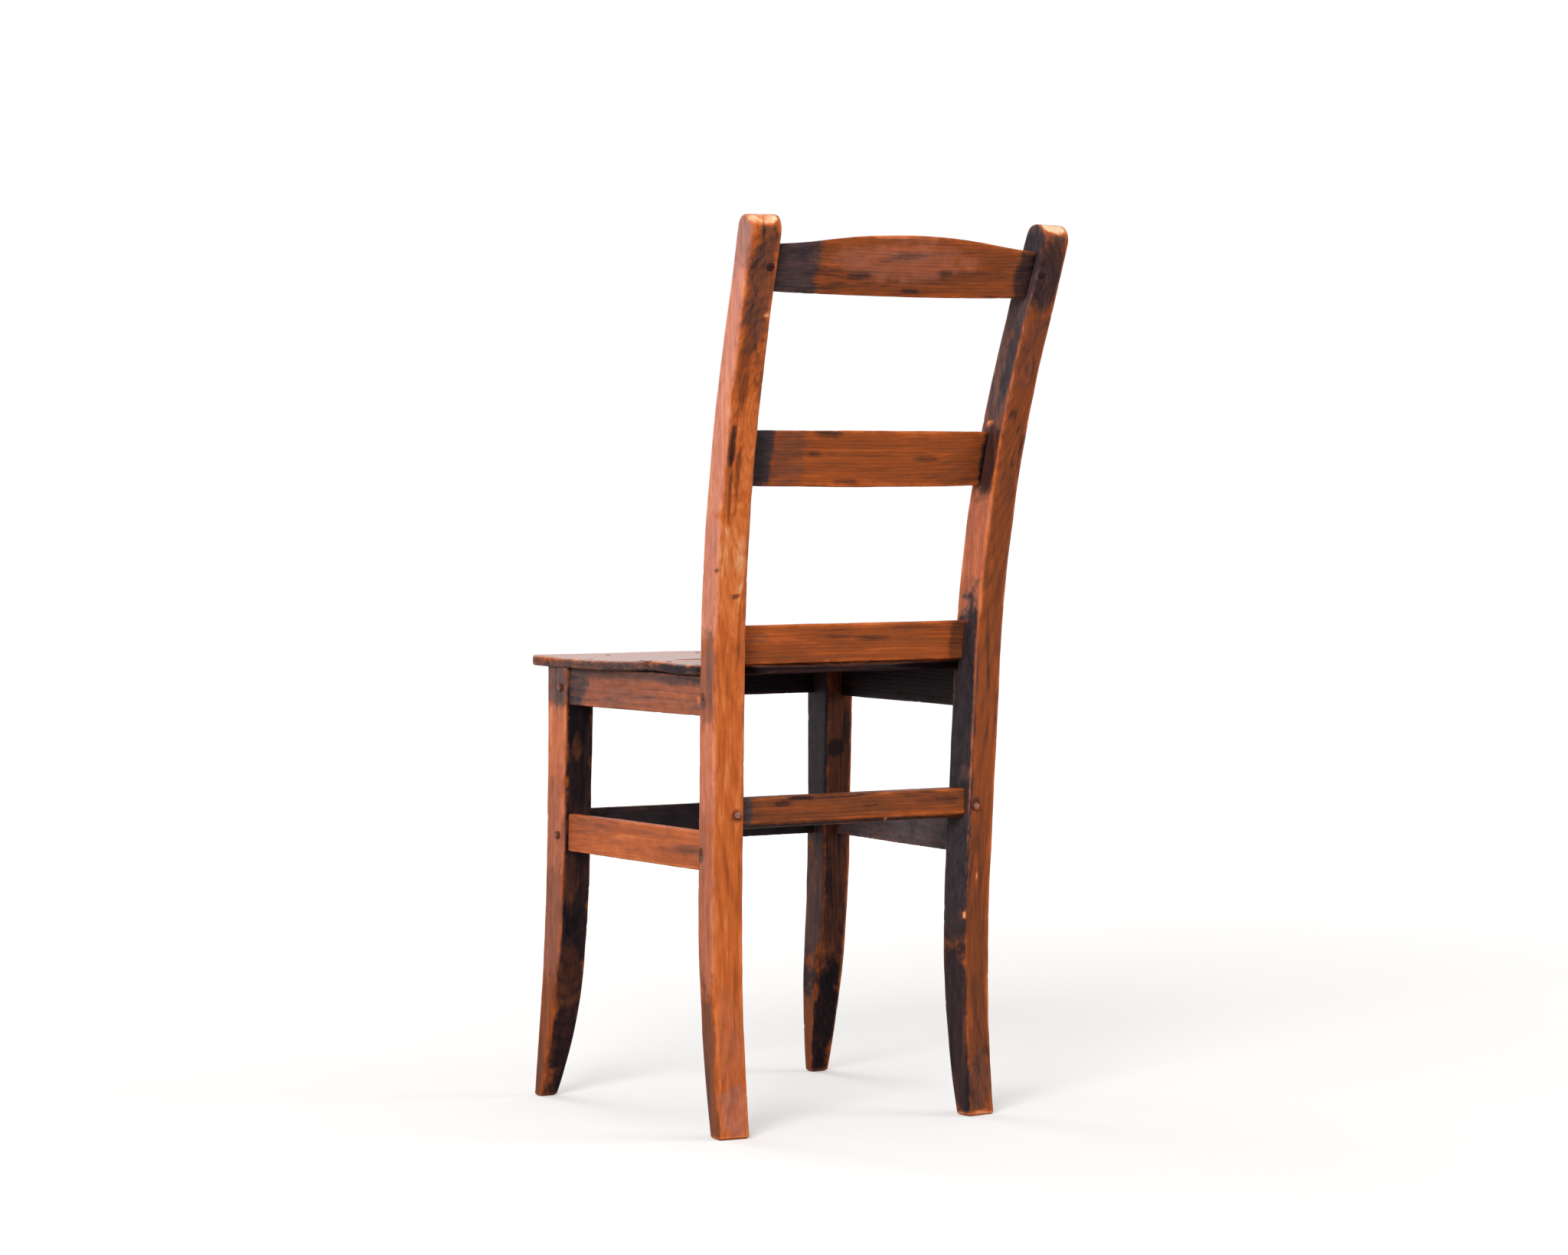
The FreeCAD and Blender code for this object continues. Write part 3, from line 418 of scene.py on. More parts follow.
CREST_MARKS = (
    (0.15, 0.25, 1.0, (126, 210, 830), (25, 60, 60)),
    (0.56, 0.4, 0.7, (10, 215, 840), (80, 30, 18)),
    (0.80, 0.4, 0.75, (12, 215, 863.5), (58, 40, 3.0)),
    (0.24, 0.0, 0.8, (56, 215, 826), (14, 30, 2.6)),
    (0.26, 0.0, 0.8, (-39, 215, 828), (11, 30, 2.6)),
    (0.26, 0.0, 0.8, (-4, 212, 811.5), (9, 30, 2.2)),
    (0.20, 0.05, 0.95, (-139, 207, 830), (13, 60, 60)),
)
SLAT_MARKS = (
    (0.12, 0.25, 1.0, (122, 145, 652), (12, 40, 70)),
    (0.44, 0.1, 0.8, (90, 145, 652), (18, 40, 40)),
    (0.30, 0.0, 0.8, (67, 147, 656), (10, 20, 2.2)),
    (0.34, 0.0, 0.8, (-65, 147, 652), (15, 20, 2.0)),
    (0.28, 0.0, 0.8, (52, 153, 677), (16, 20, 3.2)),
    (0.32, 0.0, 0.7, (27, 143, 631), (13, 20, 3.4)),
    (0.16, 0.0, 0.95, (-140, 141, 652), (8.5, 30, 70)),
)
LOWER_RAIL_MARKS = (
    (0.46, 0.2, 0.6, (106, 114, 480), (13, 20, 5)),
    (0.46, 0.0, 0.6, (-21, 113, 478), (22, 20, 3.4)),
    (0.68, 0.0, 0.5, (40, 113, 470), (24, 20, 5)),
    (0.36, 0.0, 0.8, (-124, 113, 472), (10, 20, 30)),
    (0.85, 0.2, 0.8, (28, 111, 457), (4, 10, 1.6)),
)
BACK_STRETCHER_MARKS = (
    (0.20, 0.0, 0.9, (0, 112, 297), (300, 30, 4)),
    (0.08, 0.4, 0.9, (121, 117, 316), (3.4, 20, 22)),
    (0.27, 0.0, 0.8, (84, 117, 320), (11, 20, 3.2)),
    (0.24, 0.0, 0.7, (62, 117, 324.5), (15, 20, 2.2)),
    (0.30, 0.0, 0.7, (-97, 117, 316), (22, 20, 4)),
    (1.00, 0.3, 1.0, (-36, 116, 300), (1.6, 5, 1.6)),
)
# Rear face of the front apron, under the seat: painted shade
FRONT_APRON_MARKS = ((0.05, 0.0, 1.0, (0, -186, 427), (400, 4, 60)),)
# Rear face of the front stretcher, dark: painted shade with dirt
FRONT_STRETCHER_MARKS = ((0.04, 0.10, 1.0, (0, -189, 278), (400, 4, 60)),)
LEFT_APRON_MARKS = (
    (0.52, 0.35, 1.0, (0, 136, 14), (5, 300, 60)),
    (0.30, 0.25, 0.9, (0, 136, 38), (5, 300, 9)),
    (0.22, 0.3, 0.9, (0, 6, 20), (5, 30, 40)),
    (0.86, 0.5, 0.8, (0, 250, 15), (4, 6, 2.6)),
)
# Inner face under the seat, near black: painted shade
RIGHT_APRON_MARKS = ((0.07, 0.0, 1.0, (10, 136, 19), (4, 400, 60)),)
LEFT_STRETCHER_MARKS = (
    (0.70, 0.2, 0.8, (0, 136, 19), (5, 300, 40)),
    (0.36, 0.3, 0.9, (0, 262, 12), (4, 6, 5)),
)
RIGHT_STRETCHER_MARKS = (
    (0.18, 0.55, 1.0, (10, 136, 19), (4, 400, 60)),
    (0.08, 0.3, 0.8, (10, 268, 19), (4, 60, 60)),
)
SEAT_MARKS = (
    (0.30, 0.22, 1.0, (171, -70, 448), (9, 170, 7)),
    (0.30, 0.22, 1.0, (-171, -70, 448), (9, 170, 7)),
    (0.10, 0.08, 1.0, (166, 70, 448), (10, 60, 6.5)),
    (0.10, 0.08, 1.0, (-166, 70, 448), (10, 60, 6.5)),
    # Rear edge, under the lower back rail, and the underside: painted shade
    (0.02, 0.0, 1.0, (0, 110, 448), (220, 6, 7)),
    (0.12, 0.0, 1.0, (0, -60, 443), (300, 300, 4.5)),
)
# Pale peg tops: a painted highlight
PEG_MARKS = ((0.50, 0.8, 0.8, (0, 0, 3.6), (3.2, 3.2, 2.0)),)


# Lofted pieces

def edges(corners, index):
    """Directions from a corner of a ring to the corners before and after it."""
    corner = corners[index]
    return ((corners[index - 1] - corner).normalized(),
            (corners[(index + 1) % len(corners)] - corner).normalized())


def fillet(corners, index, radius):
    """Points and outward directions round one corner of a ring."""
    before, after = edges(corners, index)
    centre = corners[index] + (before + after) * radius
    for step in range(ARC_POINTS + 1):
        turn = math.pi / 2 * step / ARC_POINTS
        out = -(after * math.cos(turn) + before * math.sin(turn))
        yield centre + out * radius, out.normalized()


def ring_points(corners, radii, flats):
    """One section: (point, outward direction, distance from the nearest arris)."""
    rounds = [list(fillet(corners, i, radii[i])) for i in range(len(corners))]
    points = []
    for index, arc in enumerate(rounds):
        points += [(point, out, 0.0) for point, out in arc]
        start, out = arc[-1]
        end, last_out = rounds[(index + 1) % len(rounds)][0]
        length = (end - start).length
        for step in range(1, flats[index] + 1):
            share = step / (flats[index] + 1)
            points.append((start.lerp(end, share), out.lerp(last_out, share).normalized(),
                           length * min(share, 1 - share)))
    return points


def inset(corners, depth):
    """The ring drawn in by depth on every side."""
    return [corner + sum(edges(corners, i), Vector()) * depth for i, corner in enumerate(corners)]


def uneven(place, shape, shift=Vector()):
    """Smooth noise of a (height, length)."""
    height, length = shape
    return height * noise.noise(place / length + shift)


def surface(point, near, seed):
    """How far a worn, hand-worked surface lies proud of the drawn one, in millimetres."""
    place = point + PIECE_SHIFT * seed
    depth, length = NICK
    nick = depth * max(0.0, noise.noise(place / length) - NICK_RARITY)
    return uneven(place, WAVE) + uneven(place, TOOL_MARK) - nick * math.exp(-near / RUB_REACH)


def smooth_step(value):
    value = min(max(value, 0.0), 1.0)
    return value * value * (3 - 2 * value)


def painted(point, tone, marks, seed):
    """Tone and painted sheen of a point. Tone runs from 0 for black to 1 for bare wood, and the
    painted sheen is a pale reflection painted into the colour. Each mark is (tone, painted sheen,
    strength, centre, half sizes) and pulls both towards its own inside a ragged ellipsoid."""
    painted_sheen = 0.0
    for target, painted_sheen_amount, strength, centre, sizes in marks:
        gap = point - Vector(centre)
        if any(abs(g) > MARK_REACH * s for g, s in zip(gap, sizes)):
            continue
        away = math.sqrt(sum((g / s) ** 2 for g, s in zip(gap, sizes)))
        ragged = sum(uneven(point, shape, Vector((seed, 0, 0))) for shape in RAGGED)
        pull = strength * smooth_step((MARK_END - away + ragged) / MARK_SOFTNESS)
        tone += (target - tone) * pull
        painted_sheen += (painted_sheen_amount - painted_sheen) * pull
    return tone, painted_sheen


def into_scene(name, data):
    made = bpy.data.objects.new(name, data)
    bpy.context.scene.collection.objects.link(made)
    return made


def grain_of(point, axis, seed):
    """Place in the timber: x and y from the pith, z along the grain."""
    turned = {"z": point, "x": point.yzx, "y": point.zxy}[axis]
    sideways = PITH_SIDEWAYS * noise.noise(Vector((seed, PITH_ROW, 0)))
    below = PITH_BELOW + seed * PITH_STEP % PITH_RANGE
    return turned + Vector((sideways, -below, seed * PIECES_APART))


class Skin:
    """The closed skins of one piece: each runs through rings of corners, (corners, arris share)."""

    def __init__(self):
        self.points, self.faces, self.grain, self.paint, self.wear = [], [], [], [], []

    def add(self, rings, placement, axis, tone, marks, seed, flats=None, radius=ARRIS,
            warp=None, rear=None, rough=1.0, saw=0.0):
        """warp moves a finished point, rear gives y of a rear face that the marks are measured
        from, rough is the share of unevenness, and saw is the depth of saw marks."""
        flats = flats or [FLAT_POINTS] * len(rings[0][0])
        base = len(self.points)
        for corners, share in rings:
            radii = [radius * share * (1 + uneven(c, ARRIS_CHANGE, Vector((seed, i, 0))))
                     for i, c in enumerate(corners)]
            for point, out, near in ring_points(corners, radii, flats):
                depth = surface(point, near, seed) * rough
                if saw:
                    stroke = (point.dot(AXES[axis]) / SAW_PITCH, near / SAW_LENGTH, seed)
                    depth += saw * noise.noise(Vector(stroke))
                shown = point + out * depth
                if warp:
                    shown = warp(shown)
                placed = placement @ shown
                placed.z = max(placed.z, 0.0)
                self.points.append(placed)
                self.grain.append(grain_of(point, axis, seed))
                spot = Vector((point.x, point.y - rear(point.z), point.z)) if rear else point
                self.paint.append(painted(spot, tone, marks, seed))
                self.wear.append(math.exp(-near / WEAR_REACH))
        count = (len(self.points) - base) // len(rings)
        last = base + count * (len(rings) - 1)
        for start in range(base, last, count):
            for i in range(count):
                j = (i + 1) % count
                self.faces.append((start + i, start + j, start + count + j, start + count + i))
        for first, turn in ((base, -1), (last, 1)):
            loop = list(range(first, first + count))[::turn]
            self.points.append(sum((self.points[i] for i in loop), Vector()) / count)
            self.grain.append(sum((self.grain[i] for i in loop), Vector()) / count)
            self.paint.append(self.paint[loop[0]])
            self.wear.append(0.0)
            middle = len(self.points) - 1
            self.faces += [(loop[i], loop[(i + 1) % count], middle) for i in range(count)]

    def piece(self, name, material):
        mesh = bpy.data.meshes.new(name)
        mesh.from_pydata([p * MM for p in self.points], [], self.faces)
        tones, painted_sheens = zip(*self.paint)
        grain = [c for g in self.grain for c in g * MM]
        for title, kind, key, values in (("grain", "FLOAT_VECTOR", "vector", grain),
                                         ("tone", "FLOAT", "value", tones),
                                         ("painted_sheen", "FLOAT", "value", painted_sheens),
                                         ("wear", "FLOAT", "value", self.wear)):
            mesh.attributes.new(title, kind, "POINT").data.foreach_set(key, values)
        mesh.polygons.foreach_set("use_smooth", [True] * len(mesh.polygons))
        mesh.materials.append(material)
        mesh.update()
        return into_scene(name, mesh)


def loft(name, rings, placement, axis, material, **look):
    skin = Skin()
    skin.add(rings, placement, axis, **look)
    return skin.piece(name, material)


def replace(piece, *nodes, slot="stained_wood"):
    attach(piece, "root")
    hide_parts(*nodes)


def steps(start, end, step=RING_STEP):
    count = max(2, math.ceil(abs(end - start) / step) + 1)
    return [start + (end - start) * i / (count - 1) for i in range(count)]


# Materials

def srgb(red, green, blue):
    """A colour given as it looks on screen, from 0 to 255, in linear light."""
    def linear(value):
        value /= 255
        return value / 12.92 if value <= 0.04045 else ((value + 0.055) / 1.055) ** 2.4
    return (linear(red), linear(green), linear(blue), 1.0)


# The stain worn through by degrees, from black polish to bare wood. Its dark end also gives
# painted shade, and the bluish cast of the black stop is a painted sheen.
STAIN_AND_SHADE_STOPS = ((0.0, srgb(15, 9, 13)), (0.12, srgb(40, 23, 26)), (0.25, srgb(70, 41, 33)),
               (0.38, srgb(107, 61, 41)), (0.50, srgb(141, 75, 42)), (0.62, srgb(173, 88, 43)),
               (0.74, srgb(206, 106, 50)), (0.84, srgb(226, 130, 72)),
               (0.92, srgb(234, 168, 115)), (1.0, srgb(246, 212, 172)))
# Pale colour of the painted sheen, a reflection painted into the colour
PAINTED_SHEEN_COLOUR = (0.15, 0.12, 0.13, 1.0)
ARRIS_TONE = 0.90
ARRIS_GAIN = 0.34


class Nodes:
    """Short calls for the shader nodes of a material or of the world."""

    def __init__(self, owner):
        owner.use_nodes = True
        self.owner = owner
        self.tree = owner.node_tree
        self.shader = self.tree.nodes.get("Principled BSDF")

    def add(self, kind, **settings):
        node = self.tree.nodes.new(f"ShaderNode{kind}")
        for key, value in settings.items():
            setattr(node, key, value)
        return node

    def feed(self, socket, value):
        if isinstance(value, bpy.types.NodeSocket):
            self.tree.links.new(value, socket)
        elif value is not None:
            socket.default_value = value

    def look(self, name, value):
        """Sets or links an input of the material's shader."""
        self.feed(self.shader.inputs[name], value)

    def math(self, operation, first, second=None, third=None):
        node = self.add("Math", operation=operation)
        for socket, value in zip(node.inputs, (first, second, third)):
            self.feed(socket, value)
        return node.outputs[0]

    def seen_by(self, first, *others):
        """1 for rays of these kinds and 0 for others."""
        path = self.add("LightPath")
        seen = path.outputs[f"Is {first} Ray"]
        for kind in others:
            seen = self.math("MAXIMUM", seen, path.outputs[f"Is {kind} Ray"])
        return seen

    def attribute(self, name, output="Fac"):
        return self.add("Attribute", attribute_name=name).outputs[output]

    def length(self, vector):
        node = self.add("VectorMath", operation="LENGTH")
        self.feed(node.inputs[0], vector)
        return node.outputs["Value"]

    def mix(self, share, first, second, blend="MIX"):
        node = self.add("MixRGB", blend_type=blend)
        for socket, value in zip(node.inputs, (share, first, second)):
            self.feed(socket, value)
        return node.outputs[0]

    def bump(self, height, strength, depth):
        node = self.add("Bump")
        node.inputs["Strength"].default_value = strength
        node.inputs["Distance"].default_value = depth
        self.feed(node.inputs["Height"], height)
        self.look("Normal", node.outputs[0])

    def scaled(self, vector, x, y, z):
        node = self.add("VectorMath", operation="MULTIPLY")
        self.feed(node.inputs[0], vector)
        node.inputs[1].default_value = (x, y, z)
        return node.outputs[0]

    def noise(self, vector, detail, rough, distortion=0.0):
        node = self.add("TexNoise")
        self.feed(node.inputs["Vector"], vector)
        node.inputs["Scale"].default_value = 1.0
        node.inputs["Detail"].default_value = detail
        node.inputs["Roughness"].default_value = rough
        node.inputs["Distortion"].default_value = distortion
        return node.outputs["Fac"]

    def between(self, value, low, high, out_low=0.0, out_high=1.0):
        node = self.add("MapRange", interpolation_type="SMOOTHSTEP")
        for socket, number in zip(node.inputs, (value, low, high, out_low, out_high)):
            self.feed(socket, number)
        return node.outputs[0]

    def ramp(self, value, stops):
        node = self.add("ValToRGB")
        self.feed(node.inputs[0], value)
        elements = node.color_ramp.elements
        while len(elements) < len(stops):
            elements.new(0.5)
        for element, (place, colour) in zip(elements, stops):
            element.position = place
            element.color = colour
        return node.outputs[0]

    def sum(self, first, *parts):
        total = first
        for value, amount in parts:
            total = self.math("MULTIPLY_ADD", value, amount, total)
        return total


# Figure of the wood: scale across and along the grain, detail, roughness and distortion
FIGURES = {
    "cloud": (22, 5, 4.0, 0.6, 0.4),
    "flame": (95, 6.5, 4.0, 0.6, 0.8),
    "fibre": (520, 11, 5.0, 0.65, 0.0),
    "blotch": (130, 60, 4.0, 0.65, 0.0),
    "pore": (1600, 60, 1.0, 0.4, 0.0),
    "broken": (60, 26, 4.0, 0.7, 0.0),
}
# Where each starts in its noise and where it is full, and the painted sheen's share at either end
RUBBED = (0.36, 0.66)
DARK_FLAME = (0.55, 0.68)
LIGHT_FLAME = (0.46, 0.34)
TICK = (0.68, 0.76)
PAINTED_SHEEN_PATCHES = (0.25, 0.75, 0.6, 1.4)
LEVEL = (0.8, 0.97)
RING_WIDTH = 0.0036
RING_WANDER = 0.007
RING_WOBBLE = 0.0012
BLOTCHES = 0.16
DARK_FLAMES = 0.17
LIGHT_FLAMES = 0.09
TICKS = 0.08
FIBRE_ROUGHNESS = 0.22
TICK_ROUGHNESS = 0.2
LATE_ROUGHNESS = 0.05
# Relief of the fibre, and of late wood, ticks, flames and blotches
FIBRE_RELIEF = 0.6
RELIEF = (-0.15, -0.5, 0.4, 0.5)
BUMP_STRENGTH = 0.35
BUMP_DEPTH = 0.0006


def wood(name, streaks=0.24, clouds=0.44, rings=0.05, wear=0.6, gloss=0.42, sheen=0.06,
         polish=0.0):
    """Stained and waxed wood: growth rings, fibre streaks, clouded stain and rubbed arrises, with
    a painted sheen added to the colour. polish is the extra sheen of a face that lies level."""
    n = Nodes(bpy.data.materials.new(name))
    grain = n.attribute("grain", "Vector")

    def figure(kind):
        across, along, detail, rough, distortion = FIGURES[kind]
        return n.noise(n.scaled(grain, across, across, along), detail, rough, distortion)

    cloud, flame, fibre, blotch = [figure(k) for k in ("cloud", "flame", "fibre", "blotch")]

    from_pith = n.length(n.scaled(grain, 1, 1, 0))
    radius = n.sum(from_pith, (cloud, RING_WANDER), (flame, RING_WOBBLE))
    wave = n.math("SINE", n.math("MULTIPLY", radius, 2 * math.pi / RING_WIDTH))
    late = n.between(wave, 0.0, 1.0)

    rubbed = n.between(figure("broken"), *RUBBED, 0.0, wear)
    bright = n.math("MULTIPLY", n.attribute("wear"), rubbed)
    dark_flame = n.between(flame, *DARK_FLAME)
    light_flame = n.between(flame, *LIGHT_FLAME)
    ticks = n.between(figure("pore"), *TICK)
    tone = n.sum(n.attribute("tone"), (n.math("SUBTRACT", cloud, 0.5), clouds),
                 (n.math("SUBTRACT", fibre, 0.5), streaks),
                 (n.math("SUBTRACT", blotch, 0.5), BLOTCHES), (late, -rings),
                 (dark_flame, -DARK_FLAMES), (light_flame, LIGHT_FLAMES), (ticks, -TICKS))
    gain = n.math("MINIMUM", n.math("SUBTRACT", ARRIS_TONE, tone), ARRIS_GAIN)
    tone = n.sum(tone, (gain, bright))
    # Painted sheen: a pale reflection added to the colour, patchy over the blotches
    painted_sheen_amount = n.math("MULTIPLY", n.attribute("painted_sheen"), n.between(blotch, *PAINTED_SHEEN_PATCHES))
    with_painted_sheen = n.mix(painted_sheen_amount, n.ramp(tone, STAIN_AND_SHADE_STOPS), PAINTED_SHEEN_COLOUR, "ADD")
    n.look("Base Color", with_painted_sheen)
    even = n.math("MULTIPLY_ADD", fibre, FIBRE_ROUGHNESS, gloss - FIBRE_ROUGHNESS / 2)
    rough = n.sum(even, (ticks, TICK_ROUGHNESS), (late, LATE_ROUGHNESS))
    n.look("Roughness", rough)
    n.look("Specular IOR Level", sheen)
    if polish:
        facing_up = n.add("SeparateXYZ")
        n.feed(facing_up.inputs[0], n.add("NewGeometry").outputs["True Normal"])
        level = n.between(facing_up.outputs["Z"], *LEVEL, sheen, sheen + polish)
        n.look("Specular IOR Level", level)

    height = n.sum(n.math("MULTIPLY", fibre, FIBRE_RELIEF),
                   *zip((late, ticks, flame, blotch), RELIEF))
    n.bump(height, BUMP_STRENGTH, BUMP_DEPTH)
    return n.owner


STAINED = wood("stained_wood_look")
SEAT_WOOD = wood("seat_wood_look", streaks=0.16, clouds=0.26, gloss=0.24, polish=0.65)
PEG_WOOD = wood("peg_wood_look", streaks=0.2, clouds=0.15, wear=0.3, gloss=0.5)

RUST_STOPS = ((0.35, srgb(30, 27, 27)), (0.55, srgb(52, 44, 40)), (0.7, srgb(96, 58, 38)))
RUST_SCALE = 900
RUST_ROUGHNESS = (0.3, 0.7, 0.45, 0.8)
RUST_BUMP = (0.4, 0.0004)
IRON_METAL = 0.6


def iron():
    """Dull iron nail heads, dark with a little rust."""
    n = Nodes(bpy.data.materials.new("nail_iron_look"))
    place = n.add("TexCoord").outputs["Object"]
    rust = n.noise(n.scaled(place, RUST_SCALE, RUST_SCALE, RUST_SCALE), 4.0, 0.6)
    n.look("Base Color", n.ramp(rust, RUST_STOPS))
    n.look("Roughness", n.between(rust, *RUST_ROUGHNESS))
    n.look("Metallic", IRON_METAL)
    n.bump(rust, *RUST_BUMP)
    return n.owner


IRON = iron()


# Posts and legs

def foot(section):
    """Rings that round the sole's edge."""
    made = []
    for turn in FOOT_TURNS:
        sine = math.sin(math.radians(turn))
        corners, share = section(FOOT_ARRIS * sine)
        made.append((inset(corners, FOOT_ARRIS * (1 - sine)), share))
    return made + [section(FOOT_ARRIS)]


def post_section():
    """A function that gives the corners of a post at a height with its share of the full arris,
    and the radius of the rounded top."""
    rake, rear_rake = radians(POST_RAKE, POST_RAKE - POST_TAPER)
    front = post_front(POST_TOP_CENTRE)
    rear = post_rear(POST_TOP_CENTRE)
    round_off = (rear - front) / (1 / math.cos(rake) + 1 / math.cos(rear_rake))
    centre = front + round_off / math.cos(rake)
    top = POST_TOP_CENTRE + round_off

    def section(z):
        low, high = post_front(z), post_rear(z)
        rise = z - POST_TOP_CENTRE
        if rise > round_off * math.sin(rake):
            low = centre - math.sqrt(round_off ** 2 - rise ** 2)
        if rise > -round_off * math.sin(rear_rake):
            high = centre + math.sqrt(round_off ** 2 - rise ** 2)
        over = max(0.0, z - (top - ARRIS))
        half = OUTER - (ARRIS - math.sqrt(ARRIS ** 2 - over ** 2))
        share = min(1.0, (high - low) / (4 * ARRIS))
        return [Vector((-half, low, z)), Vector((half, low, z)),
                Vector((half, high, z)), Vector((-half, high, z))], share

    return section, round_off


def back_post(label, tone, marks, seed):
    """A back post. The marks measure y from its rear face."""
    section, round_off = post_section()
    shoulder = POST_TOP_CENTRE - round_off * math.sin(math.radians(POST_RAKE))
    heights = steps(0.0, shoulder)
    heights += [POST_TOP_CENTRE + round_off * math.sin(math.radians(turn))
                for turn in TOP_TURNS]
    rings = foot(section)
    rings += [section(z) for z in heights[1:]]
    piece = loft(f"post_{label}", rings, post_frame(SIDES[label]), "z", STAINED, tone=tone,
                 marks=marks, seed=seed, rear=post_rear)
    replace(piece, f"back_post_{label}")


def front_leg(label, tone, marks, seed):
    """A front leg. The marks measure y from its rear face."""
    side = SIDES[label]
    fall = LEG_TAPER_FROM + FOOT_TRIM
    radius = (LEG_TAPER ** 2 + fall ** 2) / (2 * LEG_TAPER)

    def section(z):
        below = max(0.0, LEG_TAPER_FROM - z)
        taper = radius - math.sqrt(radius ** 2 - below ** 2)
        low, high = leg_front(z), leg_rear(z)
        inner, outer = -side * (LEG_OUTER - taper), side * LEG_OUTER
        left, right = min(inner, outer), max(inner, outer)
        return [Vector((left, low, z)), Vector((right, low, z)),
                Vector((right, high, z)), Vector((left, high, z))], 1.0

    rings = foot(section) + [section(z) for z in steps(RING_STEP, SEAT_HEIGHT - SEAT_THICKNESS)[1:]]
    piece = loft(f"leg_{label}", rings, leg_frame(side), "z", STAINED, tone=tone, marks=marks,
                 seed=seed, rear=leg_rear)
    replace(piece, f"front_leg_{label}")


# Rails

def meets(direction, place, plane):
    """How far along the direction the plane, (point, normal), lies from a place."""
    point, normal = plane
    return normal.dot(point - place) / normal.dot(direction)


def inner_plane(frame, side, half):
    """Plane just inside the inner face of a post or leg of some half width."""
    inward = Vector((-side, 0, 0))
    return frame @ (inward * (half - EMBED)), frame.to_3x3() @ inward


def bar(name, corners_at, axis, planes, placement=Matrix(), **look):
    """A rail along an axis between two slanted planes. corners_at gives its section there."""
    direction = AXES[axis]
    reach = [meets(direction, Vector(), plane) for plane in planes]
    rings = []
    for along in steps(*reach):
        share = (along - reach[0]) / (reach[1] - reach[0])
        corners = []
        for corner in corners_at(along):
            flat = corner - direction * corner.dot(direction)
            ends = [meets(direction, flat, plane) for plane in planes]
            corners.append(flat + direction * (ends[0] + (ends[1] - ends[0]) * share))
        rings.append((corners, 1.0))
    return loft(name, rings, placement, axis, STAINED, radius=RAIL_ARRIS, **look)


def bowed_corners(shape):
    """Section of a bowed rail at x, leaning back, with a top that is level from front to back."""
    bottom, rise, arch, rake, set_back, bow, thickness = shape
    rake = math.radians(rake)
    start = by_post(-OUTER, set_back, bottom)
    half_span, base_y = start.x, start.y
    radius = (half_span ** 2 + bow ** 2) / (2 * bow)

    def top(x):
        """Height of the top edge, an ogee where the rail has an arch."""
        share = min(abs(x) / half_span, 1.0)
        if not arch:
            return bottom + rise
        fall = 2 * share ** 2 if share < 0.5 else 1 - 2 * (1 - share) ** 2
        return bottom + rise + arch * (1 - fall)

    def at(x):
        rear = bow - radius + math.sqrt(radius ** 2 - x ** 2)
        front = bow - radius + math.sqrt((radius - thickness) ** 2 - x ** 2)
        made = []
        for out, end in ((front, 0), (rear, 0), (rear, 1), (front, 1)):
            up = (top(x) - bottom + out * math.sin(rake)) / math.cos(rake) if end else 0.0
            made.append(Vector((x, base_y + out * math.cos(rake) + up * math.sin(rake),
                                bottom - out * math.sin(rake) + up * math.cos(rake))))
        return made
    return at


def straight_corners(shape, front_y, rake=0.0, chamfer=0.0):
    """Section of a straight rail at x, leaning back by rake."""
    bottom, height, depth = shape
    back = height * math.tan(math.radians(rake))
    outline = [(0, 0), (depth - chamfer, 0), (depth, chamfer), (depth + back, height),
               (back, height)]
    if not chamfer:
        outline.remove((depth, chamfer))

    def at(x):
        return [Vector((x, front_y + y, bottom + z)) for y, z in outline]
    return at


def side_rail(kind, label, shape, tone, marks, seed, saw=0.0):
    """A rail from a front leg's rear face to a post's front face."""
    side = SIDES[label]
    bottom, height, thickness = shape
    middle = bottom + height / 2
    front = leg_frame(1) @ Vector((LEG_OUTER, leg_rear(middle), middle))
    front.x -= SIDE_INSET[kind]
    rear = by_post(OUTER, 0, middle)
    rear.x -= SIDE_REAR_INSET
    yaw = math.atan2(front.x - rear.x, rear.y - front.y)
    place = Matrix.Translation((side * front.x, front.y, bottom)) \
        @ Matrix.Rotation(side * yaw, 4, "Z")
    back = place.inverted()

    def plane(frame, y, z, tilt):
        return back @ (frame @ Vector((0, y, z))), \
            back.to_3x3() @ (frame.to_3x3() @ rearward(tilt))

    planes = [plane(leg_frame(side), LEG_DEPTH - EMBED, LEG_REAR_FROM, LEG_REAR_TILT),
              plane(post_frame(side), EMBED - POST_KICK, POST_SHANK_FROM, POST_TILT)]
    low, high = sorted((0.0, -side * thickness))

    def at(y):
        return [Vector((low, y, 0)), Vector((low, y, height)),
                Vector((high, y, height)), Vector((high, y, 0))]

    piece = bar(f"side_{kind}_{label}_wood", at, "y", planes, place, tone=tone, marks=marks,
                seed=seed, saw=saw)
    replace(piece, f"side_{kind}_{label}")


